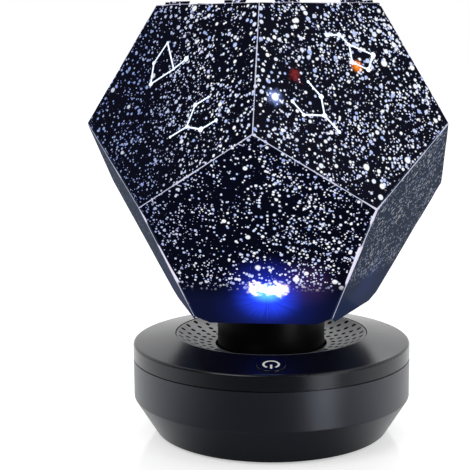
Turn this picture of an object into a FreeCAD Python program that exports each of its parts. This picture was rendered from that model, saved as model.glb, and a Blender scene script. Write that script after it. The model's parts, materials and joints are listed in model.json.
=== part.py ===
"""Planetarium projector: a round base with speakers turns a twelve sided star film on a hub.

Millimetres, +Z up, with the origin on the surface that the feet stand on, on the film's axis.
The power button faces -Y.
"""
import FreeCAD, Part
import math
import os

# Base housing
base_radius = 65.0
bottom_radius = 54.5
waist_z = 17.9
seam_z = 35.8
rim_z = 43.4
dish_rim_radius = 46.0
dish_rim_z = 46.9
wall = 2.0
floor_thickness = 2.4
edge_round = 1.4
bottom_round = 2.0
seam_groove = 0.5
tongue_height = 2.0
tongue_thickness = 0.9
lap_clearance = 0.2

# Feet
foot_count = 4
foot_radius = 5.0
foot_thickness = 2.2
foot_stand_out = 1.0
foot_inset = 16.5
foot_first_angle = 45.0
foot_clearance = 0.2

# Housing screws
housing_screw_angles = (60.0, 120.0, 240.0, 300.0)
housing_screw_inset = 17.0
housing_screw_radius = 1.25
housing_head_radius = 2.5
housing_head_height = 1.8
housing_post_radius = 4.0
housing_post_top = 30.0
housing_recess_depth = 5.0
housing_screw_bite = 6.0
screw_clearance = 0.25
pilot_clearance = 0.05

# Perforated dish
dish_thickness = 1.8
dish_edge_height = 2.2
dish_ledge = 1.0
dish_ledge_block = 2.6
dish_ledge_thickness = 1.8
dish_fit = 0.2
dish_flat = 1.0
dish_edge_round = 0.6
collar_gap = 1.2
collar_z = 41.5
dish_bend_radius = 36.0
dish_bend_z = 42.5
dish_bend_round = 38.0
collar_width = 1.4
grille_row_inset = 1.6
grille_hole_cut_margin = 2.0
grille_row_pitch = 3.3
grille_rows = 5
grille_line_angle = 10.0
grille_lines_per_side = 13
grille_swirl_angle = 2.5
grille_hole_radius = 1.1

# Hub that carries the film
hub_radius = 25.2
hub_wall = 2.0
hub_skirt_z = 34.4
hub_plate = 3.0
sleeve_wall = 2.5
sleeve_foot_radius = 13.0
sleeve_foot_height = 5.0
bush_outer_radius = 8.0
bush_fit = 0.02
bush_top_gap = 5.0
bush_flange_radius = 8.7
bush_flange = 2.0
running_gap = 0.08
thrust_gap = 0.3
washer_thickness = 1.2

# Gear pair
gear_module = 1.0
gear_teeth = 48
pinion_teeth = 12
gear_pressure_angle = 25.0
gear_addendum = 0.75
gear_dedendum = 1.15
gear_backlash = 0.12
gear_z = 26.0
gear_width = 4.0
pinion_extra_width = 0.4
gear_screw_count = 3
gear_screw_circle = 10.6
gear_screw_first_angle = 30.0
gear_screw_radius = 0.9
gear_screw_head_radius = 1.6
gear_screw_head = 1.4
gear_screw_bite = 3.5

# Lamp post
post_radius = 6.0
post_bore = 4.0
post_barrel_radius = 9.0
post_flange_radius = 15.0
post_flange = 2.4
post_pad_radius = 16.0
post_pad_bore = 9.0
post_pad_height = 5.6
post_top_gap = 1.5
post_screw_count = 3
post_screw_circle = 12.3
post_screw_first_angle = 30.0
post_screw_radius = 1.2
post_screw_head_radius = 2.0
post_screw_head = 1.6
post_screw_bite = 4.2

# Lamp
lamp_holder_radius = 9.2
lamp_holder_height = 1.9
lamp_spigot_length = 4.0
lamp_spigot_gap = 0.05
lamp_board_radius = 9.0
lamp_board_thickness = 1.2
led_count = 3
led_side = 2.4
led_height = 0.8
led_circle = 3.4
led_first_angle = 90.0
lens_radius = 8.6
lens_skirt = 1.0
lens_height = 5.6
lens_cavity_radius = 6.2
lens_cavity_height = 2.2

# Star film
film_edge = 61.0
film_bottom_z = 63.1
film_turn = -4.8
film_thickness = 0.5
film_seam = 0.4
tab_thickness = 0.4
tab_clearance = 0.1
tab_depth = 5.0
tab_near = 0.13
tab_far = 0.33
tab_flare = 0.7
tab_root_sink = 0.2
fin_height = 1.4
fin_notch_clearance = 0.2
slit_width = 0.35
slit_depth = 2.3
slit_lean = 1.6
lip_height = 3.4
lip_taper = 7.0
lip_root_inset = 0.5
film_hole_radius = 12.0

# Film clamp
clamp_outer_radius = 22.0
clamp_inner_radius = 11.0
clamp_thickness = 2.0
clamp_screw_count = 4
clamp_screw_circle = 18.0
clamp_screw_first_angle = 45.0
clamp_screw_radius = 1.0
clamp_screw_head_radius = 1.9
clamp_screw_head = 1.4

# Gear motor
motor_radius = 10.0
motor_height = 15.0
motor_shaft_radius = 1.5
motor_shaft_fit = 0.06
motor_shaft_sink = 5.0
motor_bracket_thickness = 1.2
motor_bracket_width = 14.0
motor_screw_spacing = 29.0
motor_bracket_end = 3.5
motor_boss_hole = 3.4
motor_boss_radius = 3.2
motor_post_radius = 3.0
motor_screw_radius = 1.0
motor_screw_head_radius = 1.9
motor_screw_head = 1.4
motor_screw_bite = 6.0
pinion_clearance_z = 1.4

# Main board and charging socket
board_width = 28.0
board_depth = 17.0
board_wall_gap = 5.5
board_z = 18.6
board_thickness = 1.6
board_post_radius = 2.2
board_post_spacing = 21.0
board_post_front_inset = 3.0
board_post_rear_inset = 4.0
board_screw_radius = 0.9
board_screw_head_radius = 1.7
board_screw_head = 1.2
board_screw_bite = 4.0
chip_inset = 3.5
chip_size = 6.0
chip_height = 1.0
coil_x = 4.5
coil_inset = 7.0
coil_size = 5.0
coil_height = 2.6
socket_width = 8.94
socket_height = 3.2
socket_length = 7.3
socket_shell = 0.35
socket_depth = 6.2
socket_set_back = 0.4
socket_tongue_width = 6.6
socket_tongue_thickness = 0.7
socket_clearance = 0.3
socket_tongue_set_back = 1.0

# Battery
battery_radius = 9.1
battery_length = 65.0
battery_nub_radius = 3.0
battery_nub_length = 1.0
battery_y = -27.0
cradle_base = 0.8
cradle_height = 7.0
cradle_width = 19.0
cradle_end_wall = 1.6
cradle_gap = 0.3

# Speakers
speaker_wall_gap = 3.0
speaker_radius = 16.0
speaker_tube_wall = 1.4
speaker_seat_z = 32.0
speaker_flange = 1.2
speaker_basket_depth = 8.0
speaker_basket_wall = 0.9
speaker_basket_gap = 0.4
speaker_magnet_radius = 9.0
speaker_magnet_height = 8.0
speaker_cone_radius = 11.6
speaker_surround_radius = 15.2
speaker_cone_thickness = 0.6
speaker_cap_radius = 4.5
speaker_cap_rise = 1.6
speaker_cone_neck = 4.0

# Power button
button_radius = 6.35
button_proud = 0.6
button_gap = 0.25
button_height = 4.0
button_flange_radius = 7.3
button_flange = 1.0
button_chamfer = 0.4
button_travel = 0.8
button_stem_radius = 1.5
button_stem_length = 1.6
plunger_radius = 1.7
plunger_fit = 0.15
plunger_length = 2.0
switch_side = 6.0
switch_height = 3.5
switch_gap = 1.1
button_board_width = 26.0
button_board_depth = 11.0
button_board_thickness = 1.2
button_post_radius = 2.0
button_post_spacing = 21.0
button_screw_radius = 0.9
button_screw_head_radius = 1.6
button_screw_head = 1.2
button_screw_bite = 4.0
symbol_radius = 3.8
symbol_stroke = 0.95
symbol_depth = 0.3
symbol_gap_angle = 64.0
symbol_bar_outer = 4.1
symbol_bar_inner = 0.3

# Places worked out from the sizes above
foot_circle = bottom_radius - foot_inset
housing_screw_circle = base_radius - housing_screw_inset
collar_radius = hub_radius + collar_gap
grille_first_row = collar_radius + collar_width + grille_row_inset
board_rear_y = base_radius - board_wall_gap
board_front_y = board_rear_y - board_depth
speaker_offset = base_radius - wall - speaker_wall_gap - speaker_radius
button_circle = (base_radius + dish_rim_radius) / 2
floor_bottom = foot_stand_out
floor_top = floor_bottom + floor_thickness
roof_slope = math.atan2(dish_rim_z - rim_z, base_radius - dish_rim_radius)
recess_radius = dish_rim_radius - dish_flat + dish_fit
ledge_z = dish_rim_z - dish_edge_height
ledge_radius = recess_radius - dish_ledge
post_pad_top = floor_top + post_pad_height
gear_top = gear_z + gear_width
bush_bottom = gear_z - bush_flange
washer_top = bush_bottom - thrust_gap
post_shoulder_z = washer_top - washer_thickness
post_top = film_bottom_z + post_top_gap
lamp_board_z = post_top + lamp_holder_height
lamp_top_z = lamp_board_z + lamp_board_thickness
motor_y = gear_module * (gear_teeth + pinion_teeth) / 2
bracket_z = gear_z - pinion_clearance_z - motor_bracket_thickness
clamp_z = film_bottom_z + film_thickness
clamp_top = clamp_z + clamp_thickness
socket_z = board_z + board_thickness + socket_height / 2
button_z = rim_z + (base_radius - button_circle) * math.tan(roof_slope)
plunger_top = button_proud - button_height - button_stem_length
switch_top = plunger_top - switch_gap
switch_bottom = switch_top - switch_height
button_board_bottom = switch_bottom - button_board_thickness
axis_z = FreeCAD.Vector(0, 0, 1)
origin = FreeCAD.Vector(0, 0, 0)


def tangent_corner(before, corner, after, radius):
    """The start, middle and end of a round of one radius at an outline's corner."""
    back = (before - corner).normalize()
    ahead = (after - corner).normalize()
    half = back.getAngle(ahead) / 2
    reach = radius / math.tan(half)
    middle = (back + ahead).normalize()
    centre = corner + middle * (radius / math.sin(half))
    return corner + back * reach, centre - middle * radius, corner + ahead * reach


def outline_face(points):
    """A face from (x, z) points in the XZ plane; a third number rounds that corner."""
    corners = [FreeCAD.Vector(p[0], 0, p[1]) for p in points]
    rounds = [p[2] if len(p) > 2 else 0 for p in points]
    stops = []
    for i, corner in enumerate(corners):
        if rounds[i]:
            after = corners[(i + 1) % len(corners)]
            stops.append(tangent_corner(corners[i - 1], corner, after, rounds[i]))
        else:
            stops.append((corner, None, corner))
    edges = []
    for i, (start, middle, end) in enumerate(stops):
        if middle:
            edges.append(Part.Arc(start, middle, end).toShape())
        following = stops[(i + 1) % len(stops)][0]
        edges.append(Part.makeLine(end, following))
    return Part.Face(Part.Wire(edges))


def turned(points, x=0.0, y=0.0):
    """A solid turned about the vertical line through x and y from its half outline."""
    solid = outline_face(points).revolve(origin, axis_z, 360)
    solid.translate(FreeCAD.Vector(x, y, 0))
    return solid


def cylinder(radius, bottom, top, x=0.0, y=0.0):
    """An upright cylinder between two heights."""
    return Part.makeCylinder(radius, top - bottom, FreeCAD.Vector(x, y, bottom))


def tube(outer, inner, bottom, top, x=0.0, y=0.0):
    """An upright tube between two heights."""
    return cylinder(outer, bottom, top, x, y).cut(cylinder(inner, bottom, top, x, y))


def block(x0, x1, y0, y1, z0, z1):
    """A box between two corners."""
    return Part.makeBox(x1 - x0, y1 - y0, z1 - z0, FreeCAD.Vector(x0, y0, z0))


def round_ended_bar(width, height, y0, y1, centre_z):
    """A bar along Y whose cross-section is a rectangle with half-round ends."""
    end = height / 2
    reach = width / 2 - end
    bar = block(-reach, reach, y0, y1, centre_z - end, centre_z + end)
    for x in (-reach, reach):
        place = FreeCAD.Vector(x, y0, centre_z)
        bar = bar.fuse(Part.makeCylinder(end, y1 - y0, place, FreeCAD.Vector(0, 1, 0)))
    return bar.removeSplitter()


def circle_places(radius, angles):
    """Points on a circle about the axis, at angles in degrees from +X."""
    turns = [math.radians(a) for a in angles]
    return [(radius * math.cos(t), radius * math.sin(t)) for t in turns]


def even_angles(count, first=0.0):
    """Evenly spaced angles in degrees."""
    return [first + 360.0 * i / count for i in range(count)]


def joined(shapes):
    """One shape fused from several, with the seams between flush faces taken out."""
    return shapes[0].multiFuse(shapes[1:]).removeSplitter()


def screw(x, y, seat_z, end_z, radius, head_radius, head_height):
    """A pan-head screw: the head lies beyond the seat, away from the end of the shank."""
    away = 1 if seat_z > end_z else -1
    head_end = seat_z + away * head_height
    head = cylinder(head_radius, min(seat_z, head_end), max(seat_z, head_end), x, y)
    shank = cylinder(radius, min(seat_z, end_z), max(seat_z, end_z), x, y)
    return head.fuse(shank)


foot_places = circle_places(foot_circle, even_angles(foot_count, foot_first_angle))
housing_screw_places = circle_places(housing_screw_circle, housing_screw_angles)
gear_screw_places = circle_places(gear_screw_circle, even_angles(gear_screw_count, gear_screw_first_angle))
post_screw_places = circle_places(post_screw_circle, even_angles(post_screw_count, post_screw_first_angle))
clamp_screw_angles = even_angles(clamp_screw_count, clamp_screw_first_angle)
clamp_screw_places = circle_places(clamp_screw_circle, clamp_screw_angles)
motor_post_places = [(side * motor_screw_spacing / 2, motor_y) for side in (-1, 1)]
board_screw_places = [
    (side * board_post_spacing / 2, board_front_y + board_post_front_inset) for side in (-1, 1)
]
board_rest_places = [
    (side * board_post_spacing / 2, board_rear_y - board_post_rear_inset) for side in (-1, 1)
]


def button_placement():
    """The button's own frame: its origin on the sloped roof, with Z square to the roof."""
    tilt = FreeCAD.Rotation(FreeCAD.Vector(1, 0, 0), math.degrees(roof_slope))
    return FreeCAD.Placement(FreeCAD.Vector(0, -button_circle, button_z), tilt)


def on_roof(shape):
    """A shape built in the button's own frame, moved to its place on the roof."""
    moved = shape.copy()
    moved.transformShape(button_placement().toMatrix())
    return moved


def lower_housing():
    """The tapered tub: floor, posts, speaker tubes and the slot for the charging socket."""
    taper = (base_radius - bottom_radius) / (waist_z - floor_bottom)
    inner_bottom = bottom_radius + taper * floor_thickness - wall * math.hypot(1, taper)
    outline = [
        (0, floor_bottom),
        (bottom_radius, floor_bottom, bottom_round),
        (base_radius, waist_z, edge_round),
        (base_radius, seam_z),
        (base_radius - wall + tongue_thickness, seam_z),
        (base_radius - wall + tongue_thickness, seam_z + tongue_height),
        (base_radius - wall, seam_z + tongue_height),
        (base_radius - wall, waist_z),
        (inner_bottom, floor_top),
        (0, floor_top),
    ]
    tub = turned(outline)
    envelope = turned([
        (0, floor_bottom),
        (bottom_radius, floor_bottom, bottom_round),
        (base_radius, waist_z, edge_round),
        (base_radius, seam_z),
        (0, seam_z),
    ])
    fittings = [tube(post_pad_radius, post_pad_bore, floor_top, post_pad_top)]
    for x, y in housing_screw_places:
        fittings.append(cylinder(housing_post_radius, floor_top, housing_post_top, x, y))
    for x, y in motor_post_places:
        fittings.append(cylinder(motor_post_radius, floor_top, bracket_z, x, y))
    for x, y in board_screw_places + board_rest_places:
        fittings.append(cylinder(board_post_radius, floor_top, board_z, x, y))
    for x in (-speaker_offset, speaker_offset):
        inner = speaker_radius - speaker_tube_wall
        fittings.append(tube(speaker_radius, inner, floor_top, speaker_seat_z, x))
    tub = joined([tub] + [f.common(envelope) for f in fittings])
    for x, y in foot_places:
        pocket_top = foot_thickness
        tub = tub.cut(cylinder(foot_radius + foot_clearance, floor_bottom, pocket_top, x, y))
    for x, y in housing_screw_places:
        recess_top = floor_bottom + housing_recess_depth
        tub = tub.cut(cylinder(housing_head_radius + screw_clearance, floor_bottom, recess_top, x, y))
        hole = housing_screw_radius + screw_clearance
        tub = tub.cut(cylinder(hole, recess_top, housing_post_top, x, y))
    for x, y in post_screw_places:
        hole_bottom = post_pad_top - post_screw_bite - pilot_clearance
        tub = tub.cut(cylinder(post_screw_radius + pilot_clearance, hole_bottom, post_pad_top, x, y))
    for x, y in motor_post_places:
        hole_bottom = bracket_z - motor_screw_bite - pilot_clearance
        tub = tub.cut(cylinder(motor_screw_radius + pilot_clearance, hole_bottom, bracket_z, x, y))
    for x, y in board_screw_places:
        hole_bottom = board_z - board_screw_bite - pilot_clearance
        tub = tub.cut(cylinder(board_screw_radius + pilot_clearance, hole_bottom, board_z, x, y))
    slot = round_ended_bar(
        socket_width + 2 * socket_clearance,
        socket_height + 2 * socket_clearance,
        base_radius - 2 * wall,
        base_radius + wall,
        socket_z,
    )
    return tub.cut(slot)


def roof_height(radius):
    """The height of the sloped roof's top face at a radius."""
    return rim_z + (base_radius - radius) * math.tan(roof_slope)


def upper_cover():
    """The sloped ring above the seam, with the ledge that carries the perforated dish."""
    roof_drop = wall / math.cos(roof_slope)
    ledge_back = ledge_radius + dish_ledge_block
    skirt_inner = base_radius - wall
    lap_radius = skirt_inner + tongue_thickness + lap_clearance
    skirt_bottom = seam_z + seam_groove
    lap_top = seam_z + tongue_height + lap_clearance
    cover = turned([
        (lap_radius, skirt_bottom),
        (base_radius, skirt_bottom),
        (base_radius, rim_z, edge_round),
        (recess_radius, roof_height(recess_radius)),
        (recess_radius, ledge_z),
        (ledge_radius, ledge_z),
        (ledge_radius, ledge_z - dish_ledge_thickness),
        (ledge_back, ledge_z - dish_ledge_thickness),
        (ledge_back, roof_height(ledge_back) - roof_drop),
        (skirt_inner, roof_height(skirt_inner) - roof_drop),
        (skirt_inner, lap_top),
        (lap_radius, lap_top),
    ])
    envelope = turned([
        (ledge_radius, housing_post_top),
        (base_radius, housing_post_top),
        (base_radius, rim_z, edge_round),
        (recess_radius, roof_height(recess_radius)),
        (recess_radius, ledge_z),
        (ledge_radius, ledge_z),
    ])
    bosses = [
        cylinder(housing_post_radius, housing_post_top, dish_rim_z, x, y).common(envelope)
        for x, y in housing_screw_places
    ]
    for side in (-1, 1):
        x = side * button_post_spacing / 2
        bosses.append(on_roof(cylinder(button_post_radius, switch_bottom, -wall / 2, x, 0)))
    cover = joined([cover] + bosses)
    for x, y in housing_screw_places:
        hole_top = housing_post_top + housing_screw_bite + pilot_clearance
        cover = cover.cut(cylinder(housing_screw_radius + pilot_clearance, housing_post_top, hole_top, x, y))
    for side in (-1, 1):
        x = side * button_post_spacing / 2
        hole_top = switch_bottom + button_screw_bite + pilot_clearance
        hole = cylinder(button_screw_radius + pilot_clearance, switch_bottom, hole_top, x, 0)
        cover = cover.cut(on_roof(hole))
    return cover.cut(on_roof(cylinder(button_radius + button_gap, -2 * wall, 2 * wall)))


def grille_hole(radius, angle):
    """One round hole of the grille, drawn straight up through the dish."""
    (x, y), = circle_places(radius, [angle])
    low = collar_z - dish_thickness - grille_hole_cut_margin
    return cylinder(grille_hole_radius, low, dish_rim_z + grille_hole_cut_margin, x, y)


def speaker_grille():
    """The perforated dish round the hub, seated on the cover's ledge."""
    outer = recess_radius - dish_fit
    slope_start = outer - dish_flat
    slope_end = collar_radius + collar_width
    inner_slope = math.atan2(dish_bend_z - collar_z, dish_bend_radius - slope_end)
    outer_slope = math.atan2(dish_rim_z - dish_bend_z, slope_start - dish_bend_radius)
    middle_slope = (inner_slope + outer_slope) / 2
    inner_drop = dish_thickness / math.cos(inner_slope)
    outer_drop = dish_thickness / math.cos(outer_slope)
    bend_drop = dish_thickness / math.cos((outer_slope - inner_slope) / 2)
    under_bend_radius = dish_bend_radius + bend_drop * math.sin(middle_slope)
    under_bend_z = dish_bend_z - bend_drop * math.cos(middle_slope)
    meets_ledge = slope_start - (dish_rim_z - outer_drop - ledge_z) / math.tan(outer_slope)
    dish = turned([
        (outer, ledge_z),
        (outer, dish_rim_z, dish_edge_round),
        (slope_start, dish_rim_z),
        (dish_bend_radius, dish_bend_z, dish_bend_round),
        (slope_end, collar_z),
        (collar_radius, collar_z),
        (collar_radius, collar_z - inner_drop),
        (slope_end, collar_z - inner_drop),
        (under_bend_radius, under_bend_z, dish_bend_round - dish_thickness),
        (meets_ledge, ledge_z),
    ])
    holes = []
    middle = (grille_lines_per_side - 1) / 2
    for side_angle in (0.0, 180.0):
        for line in range(grille_lines_per_side):
            for row in range(grille_rows):
                radius = grille_first_row + row * grille_row_pitch
                angle = side_angle + (line - middle) * grille_line_angle - row * grille_swirl_angle
                holes.append(grille_hole(radius, angle))
    return dish.cut(Part.makeCompound(holes))


def rubber_feet():
    """Four round feet in pockets under the floor."""
    feet = [cylinder(foot_radius, 0, foot_thickness, x, y) for x, y in foot_places]
    return Part.makeCompound(feet)


def housing_screws():
    """The long screws that hold the cover down on the tub's posts."""
    seat = floor_bottom + housing_recess_depth
    end = housing_post_top + housing_screw_bite
    return Part.makeCompound([
        screw(x, y, seat, end, housing_screw_radius, housing_head_radius, housing_head_height)
        for x, y in housing_screw_places
    ])


def lamp_post():
    """The fixed hollow post that the hub turns round and that carries the lamp."""
    post = turned([
        (post_bore, post_pad_top),
        (post_flange_radius, post_pad_top),
        (post_flange_radius, post_pad_top + post_flange),
        (post_barrel_radius, post_pad_top + post_flange),
        (post_barrel_radius, post_shoulder_z),
        (post_radius, post_shoulder_z),
        (post_radius, post_top),
        (post_bore, post_top),
    ])
    for x, y in post_screw_places:
        hole = post_screw_radius + screw_clearance
        post = post.cut(cylinder(hole, post_pad_top, post_pad_top + post_flange, x, y))
    return post


def post_screws():
    """The screws that hold the post's flange on its pad."""
    seat = post_pad_top + post_flange
    end = post_pad_top - post_screw_bite
    return Part.makeCompound([
        screw(x, y, seat, end, post_screw_radius, post_screw_head_radius, post_screw_head)
        for x, y in post_screw_places
    ])


def thrust_washer():
    """The washer on the post's shoulder that the turning bush runs on."""
    return tube(post_barrel_radius, post_radius + running_gap, post_shoulder_z, washer_top)


def lamp_holder():
    """The disc that plugs into the post's bore and carries the lamp board."""
    spigot = post_bore - lamp_spigot_gap
    return turned([
        (0, post_top - lamp_spigot_length),
        (spigot, post_top - lamp_spigot_length),
        (spigot, post_top),
        (lamp_holder_radius, post_top),
        (lamp_holder_radius, lamp_board_z),
        (0, lamp_board_z),
    ])


def lamp_board():
    """The round lamp board."""
    return cylinder(lamp_board_radius, lamp_board_z, lamp_top_z)


def lamp_leds():
    """The light-emitting chips on the lamp board."""
    half = led_side / 2
    places = circle_places(led_circle, even_angles(led_count, led_first_angle))
    return Part.makeCompound([
        block(x - half, x + half, y - half, y + half, lamp_top_z, lamp_top_z + led_height)
        for x, y in places
    ])


def lamp_lens():
    """The clear dome over the chips, hollow underneath."""
    rise = lens_height - lens_skirt
    ball_radius = (lens_radius**2 + rise**2) / (2 * rise)
    top = lamp_top_z + lens_height
    ball = Part.makeSphere(ball_radius, FreeCAD.Vector(0, 0, top - ball_radius))
    dome = ball.common(cylinder(lens_radius, lamp_top_z, top))
    return dome.cut(cylinder(lens_cavity_radius, lamp_top_z, lamp_top_z + lens_cavity_height))


def turntable_hub():
    """The black column: a skirted drum with a long inner sleeve for the bush."""
    sleeve_outer = bush_outer_radius + sleeve_wall
    plate_bottom = film_bottom_z - hub_plate
    foot_top = gear_top + sleeve_foot_height
    hub = turned([
        (bush_outer_radius, gear_top),
        (sleeve_foot_radius, gear_top),
        (sleeve_foot_radius, foot_top),
        (sleeve_outer, foot_top),
        (sleeve_outer, plate_bottom),
        (hub_radius - hub_wall, plate_bottom),
        (hub_radius - hub_wall, hub_skirt_z),
        (hub_radius, hub_skirt_z),
        (hub_radius, film_bottom_z),
        (bush_outer_radius, film_bottom_z),
    ])
    for x, y in gear_screw_places:
        hole_top = gear_top + gear_screw_bite + pilot_clearance
        hub = hub.cut(cylinder(gear_screw_radius + pilot_clearance, gear_top, hole_top, x, y))
    for x, y in clamp_screw_places:
        hub = hub.cut(cylinder(clamp_screw_radius + pilot_clearance, plate_bottom, film_bottom_z, x, y))
    return hub


def turntable_bush():
    """The plain flanged bush pressed into the hub's sleeve, which runs on the post."""
    inner = post_radius + running_gap
    outer = bush_outer_radius - bush_fit
    top = film_bottom_z - bush_top_gap
    return turned([
        (inner, bush_bottom),
        (bush_flange_radius, bush_bottom),
        (bush_flange_radius, gear_z),
        (outer, gear_z),
        (outer, top),
        (inner, top),
    ])


def involute(angle):
    """The involute function of a pressure angle in radians."""
    return math.tan(angle) - angle


def gear_outline(teeth, first_tooth):
    """The points of a spur gear's outline, with a tooth centred at an angle in degrees."""
    pitch = gear_module * teeth / 2
    base = pitch * math.cos(math.radians(gear_pressure_angle))
    root = pitch - gear_dedendum * gear_module
    tip = pitch + gear_addendum * gear_module
    half_tooth = math.pi / (2 * teeth) - gear_backlash / (2 * pitch)
    at_pitch = involute(math.radians(gear_pressure_angle))
    flank = []
    for radius in sorted({root, max(root, base), pitch, tip}):
        angle = math.acos(min(1.0, base / radius))
        flank.append((radius, half_tooth + at_pitch - involute(angle)))
    points = []
    for tooth in range(teeth):
        centre = math.radians(first_tooth + 360.0 * tooth / teeth)
        side = [(r, centre - half) for r, half in flank]
        side += [(r, centre + half) for r, half in reversed(flank)]
        points += [(r * math.cos(a), r * math.sin(a)) for r, a in side]
    return points


def spur_gear(teeth, first_tooth, bottom, top, x=0.0, y=0.0):
    """A solid spur gear blank between two heights."""
    corners = [FreeCAD.Vector(px + x, py + y, bottom) for px, py in gear_outline(teeth, first_tooth)]
    face = Part.Face(Part.makePolygon(corners + corners[:1]))
    return face.extrude(FreeCAD.Vector(0, 0, top - bottom))


def turntable_gear():
    """The large gear under the hub's sleeve, with a thinned web."""
    gear = spur_gear(gear_teeth, 90.0, gear_z, gear_top)
    gear = gear.cut(cylinder(bush_outer_radius, gear_z, gear_top))
    rim_inner = gear_module * gear_teeth / 2 - 4 * gear_module
    web = tube(rim_inner, sleeve_foot_radius + gear_module, gear_top - gear_width / 3, gear_top)
    gear = gear.cut(web)
    for x, y in gear_screw_places:
        gear = gear.cut(cylinder(gear_screw_radius + screw_clearance, gear_z, gear_top, x, y))
    return gear


def gear_screws():
    """The screws that hold the large gear to the sleeve."""
    end = gear_top + gear_screw_bite
    return Part.makeCompound([
        screw(x, y, gear_z, end, gear_screw_radius, gear_screw_head_radius, gear_screw_head)
        for x, y in gear_screw_places
    ])


def film_clamp_ring():
    """The ring inside the film that clamps its bottom panel to the hub."""
    ring = tube(clamp_outer_radius, clamp_inner_radius, clamp_z, clamp_top)
    for x, y in clamp_screw_places:
        ring = ring.cut(cylinder(clamp_screw_radius + screw_clearance, clamp_z, clamp_top, x, y))
    return ring


def clamp_screws():
    """The screws through the clamp ring and the film into the hub."""
    end = film_bottom_z - hub_plate + pilot_clearance
    return Part.makeCompound([
        screw(x, y, clamp_top, end, clamp_screw_radius, clamp_screw_head_radius, clamp_screw_head)
        for x, y in clamp_screw_places
    ])


def film_frame():
    """The twelve sided film's fold angle, centre, inner radius and four rings of corners."""
    golden = (1 + math.sqrt(5)) / 2
    near = film_edge / (2 * math.sin(math.pi / 5))
    inradius = film_edge * golden**2 / (2 * math.sqrt(3 - golden))
    centre = FreeCAD.Vector(0, 0, film_bottom_z + inradius)
    panel_height = film_edge * math.sin(math.radians(72))
    fold = math.acos(-1 / math.sqrt(5))
    mid_height = inradius - panel_height * math.sin(fold)

    def ring(radius, height, offset):
        turns = [math.radians(film_turn + offset + 72.0 * i) for i in range(5)]
        return [centre + FreeCAD.Vector(radius * math.sin(t), -radius * math.cos(t), height) for t in turns]

    return {
        "fold": fold,
        "centre": centre,
        "inradius": inradius,
        "top": ring(near, inradius, 0),
        "upper": ring(near * golden, mid_height, 0),
        "lower": ring(near * golden, -mid_height, 36),
        "bottom": ring(near, -inradius, 36),
    }


film = film_frame()


def panel_corners(name, index=0):
    """The corners of one flat panel of the film, in order round it."""
    after = (index + 1) % 5
    before = (index - 1) % 5
    if name in ("top", "bottom"):
        return film[name]
    if name == "upper":
        route = (("top", index), ("top", after), ("upper", after), ("lower", index), ("upper", index))
    else:
        route = (("upper", index), ("lower", index), ("bottom", index), ("bottom", before), ("lower", before))
    return [film[ring][place] for ring, place in route]


def middle_of(points):
    """The mean of several points."""
    total = FreeCAD.Vector(0, 0, 0)
    for p in points:
        total = total + p
    return total * (1.0 / len(points))


def panel_sheet(corners, inset=film_seam / 2):
    """A panel of the film with mitred edges, inset from its folds all round."""
    middle = middle_of(corners)
    side_middle = (corners[0] + corners[1]) * 0.5
    apothem = (side_middle - middle).Length
    share = (apothem - inset) / apothem
    outer = [middle + (c - middle) * share for c in corners]
    shrink = 1 - film_thickness / film["inradius"]
    inner = [film["centre"] + (p - film["centre"]) * shrink for p in outer]
    wires = [Part.makePolygon(ring + ring[:1]) for ring in (outer, inner)]
    return Part.makeLoft(wires, True, True)


def edge_frame(start, end, middle):
    """The directions along an edge, into the panel that it bounds, and towards the film's inside."""
    along = (end - start).normalize()
    to_middle = middle - start
    into = (to_middle - along * to_middle.dot(along)).normalize()
    inward = along.cross(into)
    if inward.dot(film["centre"] - start) < 0:
        inward = inward * -1
    return along, into, inward


def edge_plate(start, frame, shape, depth, thickness):
    """A flat plate of (along, into) points in a panel's plane, at a depth inside it."""
    along, into, inward = frame
    points = [start + along * a + into * b + inward * depth for a, b in shape]
    face = Part.Face(Part.makePolygon(points + points[:1]))
    return face.extrude(inward * thickness)


def tab_spans():
    """Where the two tabs of an edge start and end along it."""
    near = tab_near * film_edge
    far = tab_far * film_edge
    return (near, far), (film_edge - far, film_edge - near)


def tucked_tabs(start, end, neighbour_corners):
    """The two dovetail tabs that one panel tucks inside its neighbour along an edge."""
    frame = edge_frame(start, end, middle_of(neighbour_corners))
    tabs = []
    for first, last in tab_spans():
        shape = [
            (first + tab_flare, -tab_root_sink),
            (last - tab_flare, -tab_root_sink),
            (last, tab_depth),
            (first, tab_depth),
        ]
        depth = film_thickness + tab_clearance
        tabs.append(edge_plate(start, frame, shape, depth, tab_thickness))
    return tabs


def standing_fins(start, end, own_corners):
    """The two small tabs of an upper panel that stand out above the film's top edge."""
    frame = edge_frame(start, end, middle_of(own_corners))
    fins = []
    for first, last in tab_spans():
        shape = [
            (first + tab_flare, film_seam + film_thickness),
            (last - tab_flare, film_seam + film_thickness),
            (last, -fin_height),
            (first, -fin_height),
        ]
        fins.append(edge_plate(start, frame, shape, 0, film_thickness))
    return fins


def locking_slits(start, end, own_corners):
    """Cutters for the slits beside each tucked tab, which lean away from it into a lower panel."""
    frame = edge_frame(start, end, middle_of(own_corners))
    past = film_thickness
    cutters = []
    for first, last in tab_spans():
        for place, lean in ((first, -slit_lean), (last, slit_lean)):
            low = place - slit_width / 2
            high = place + slit_width / 2
            shape = [(low, -past), (high, -past), (high + lean, slit_depth), (low + lean, slit_depth)]
            cutters.append(edge_plate(start, frame, shape, -past, 3 * film_thickness))
    return cutters


def hanging_lip(start, end, own_corners):
    """The tapered lip of a lower panel that hangs below its fold to the bottom panel."""
    frame = edge_frame(start, end, middle_of(own_corners))
    root = film_seam + film_thickness
    shape = [
        (lip_root_inset, root),
        (film_edge - lip_root_inset, root),
        (film_edge - lip_root_inset, 0),
        (film_edge - lip_taper, -lip_height),
        (lip_taper, -lip_height),
        (lip_root_inset, 0),
    ]
    return edge_plate(start, frame, shape, 0, film_thickness)


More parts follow.
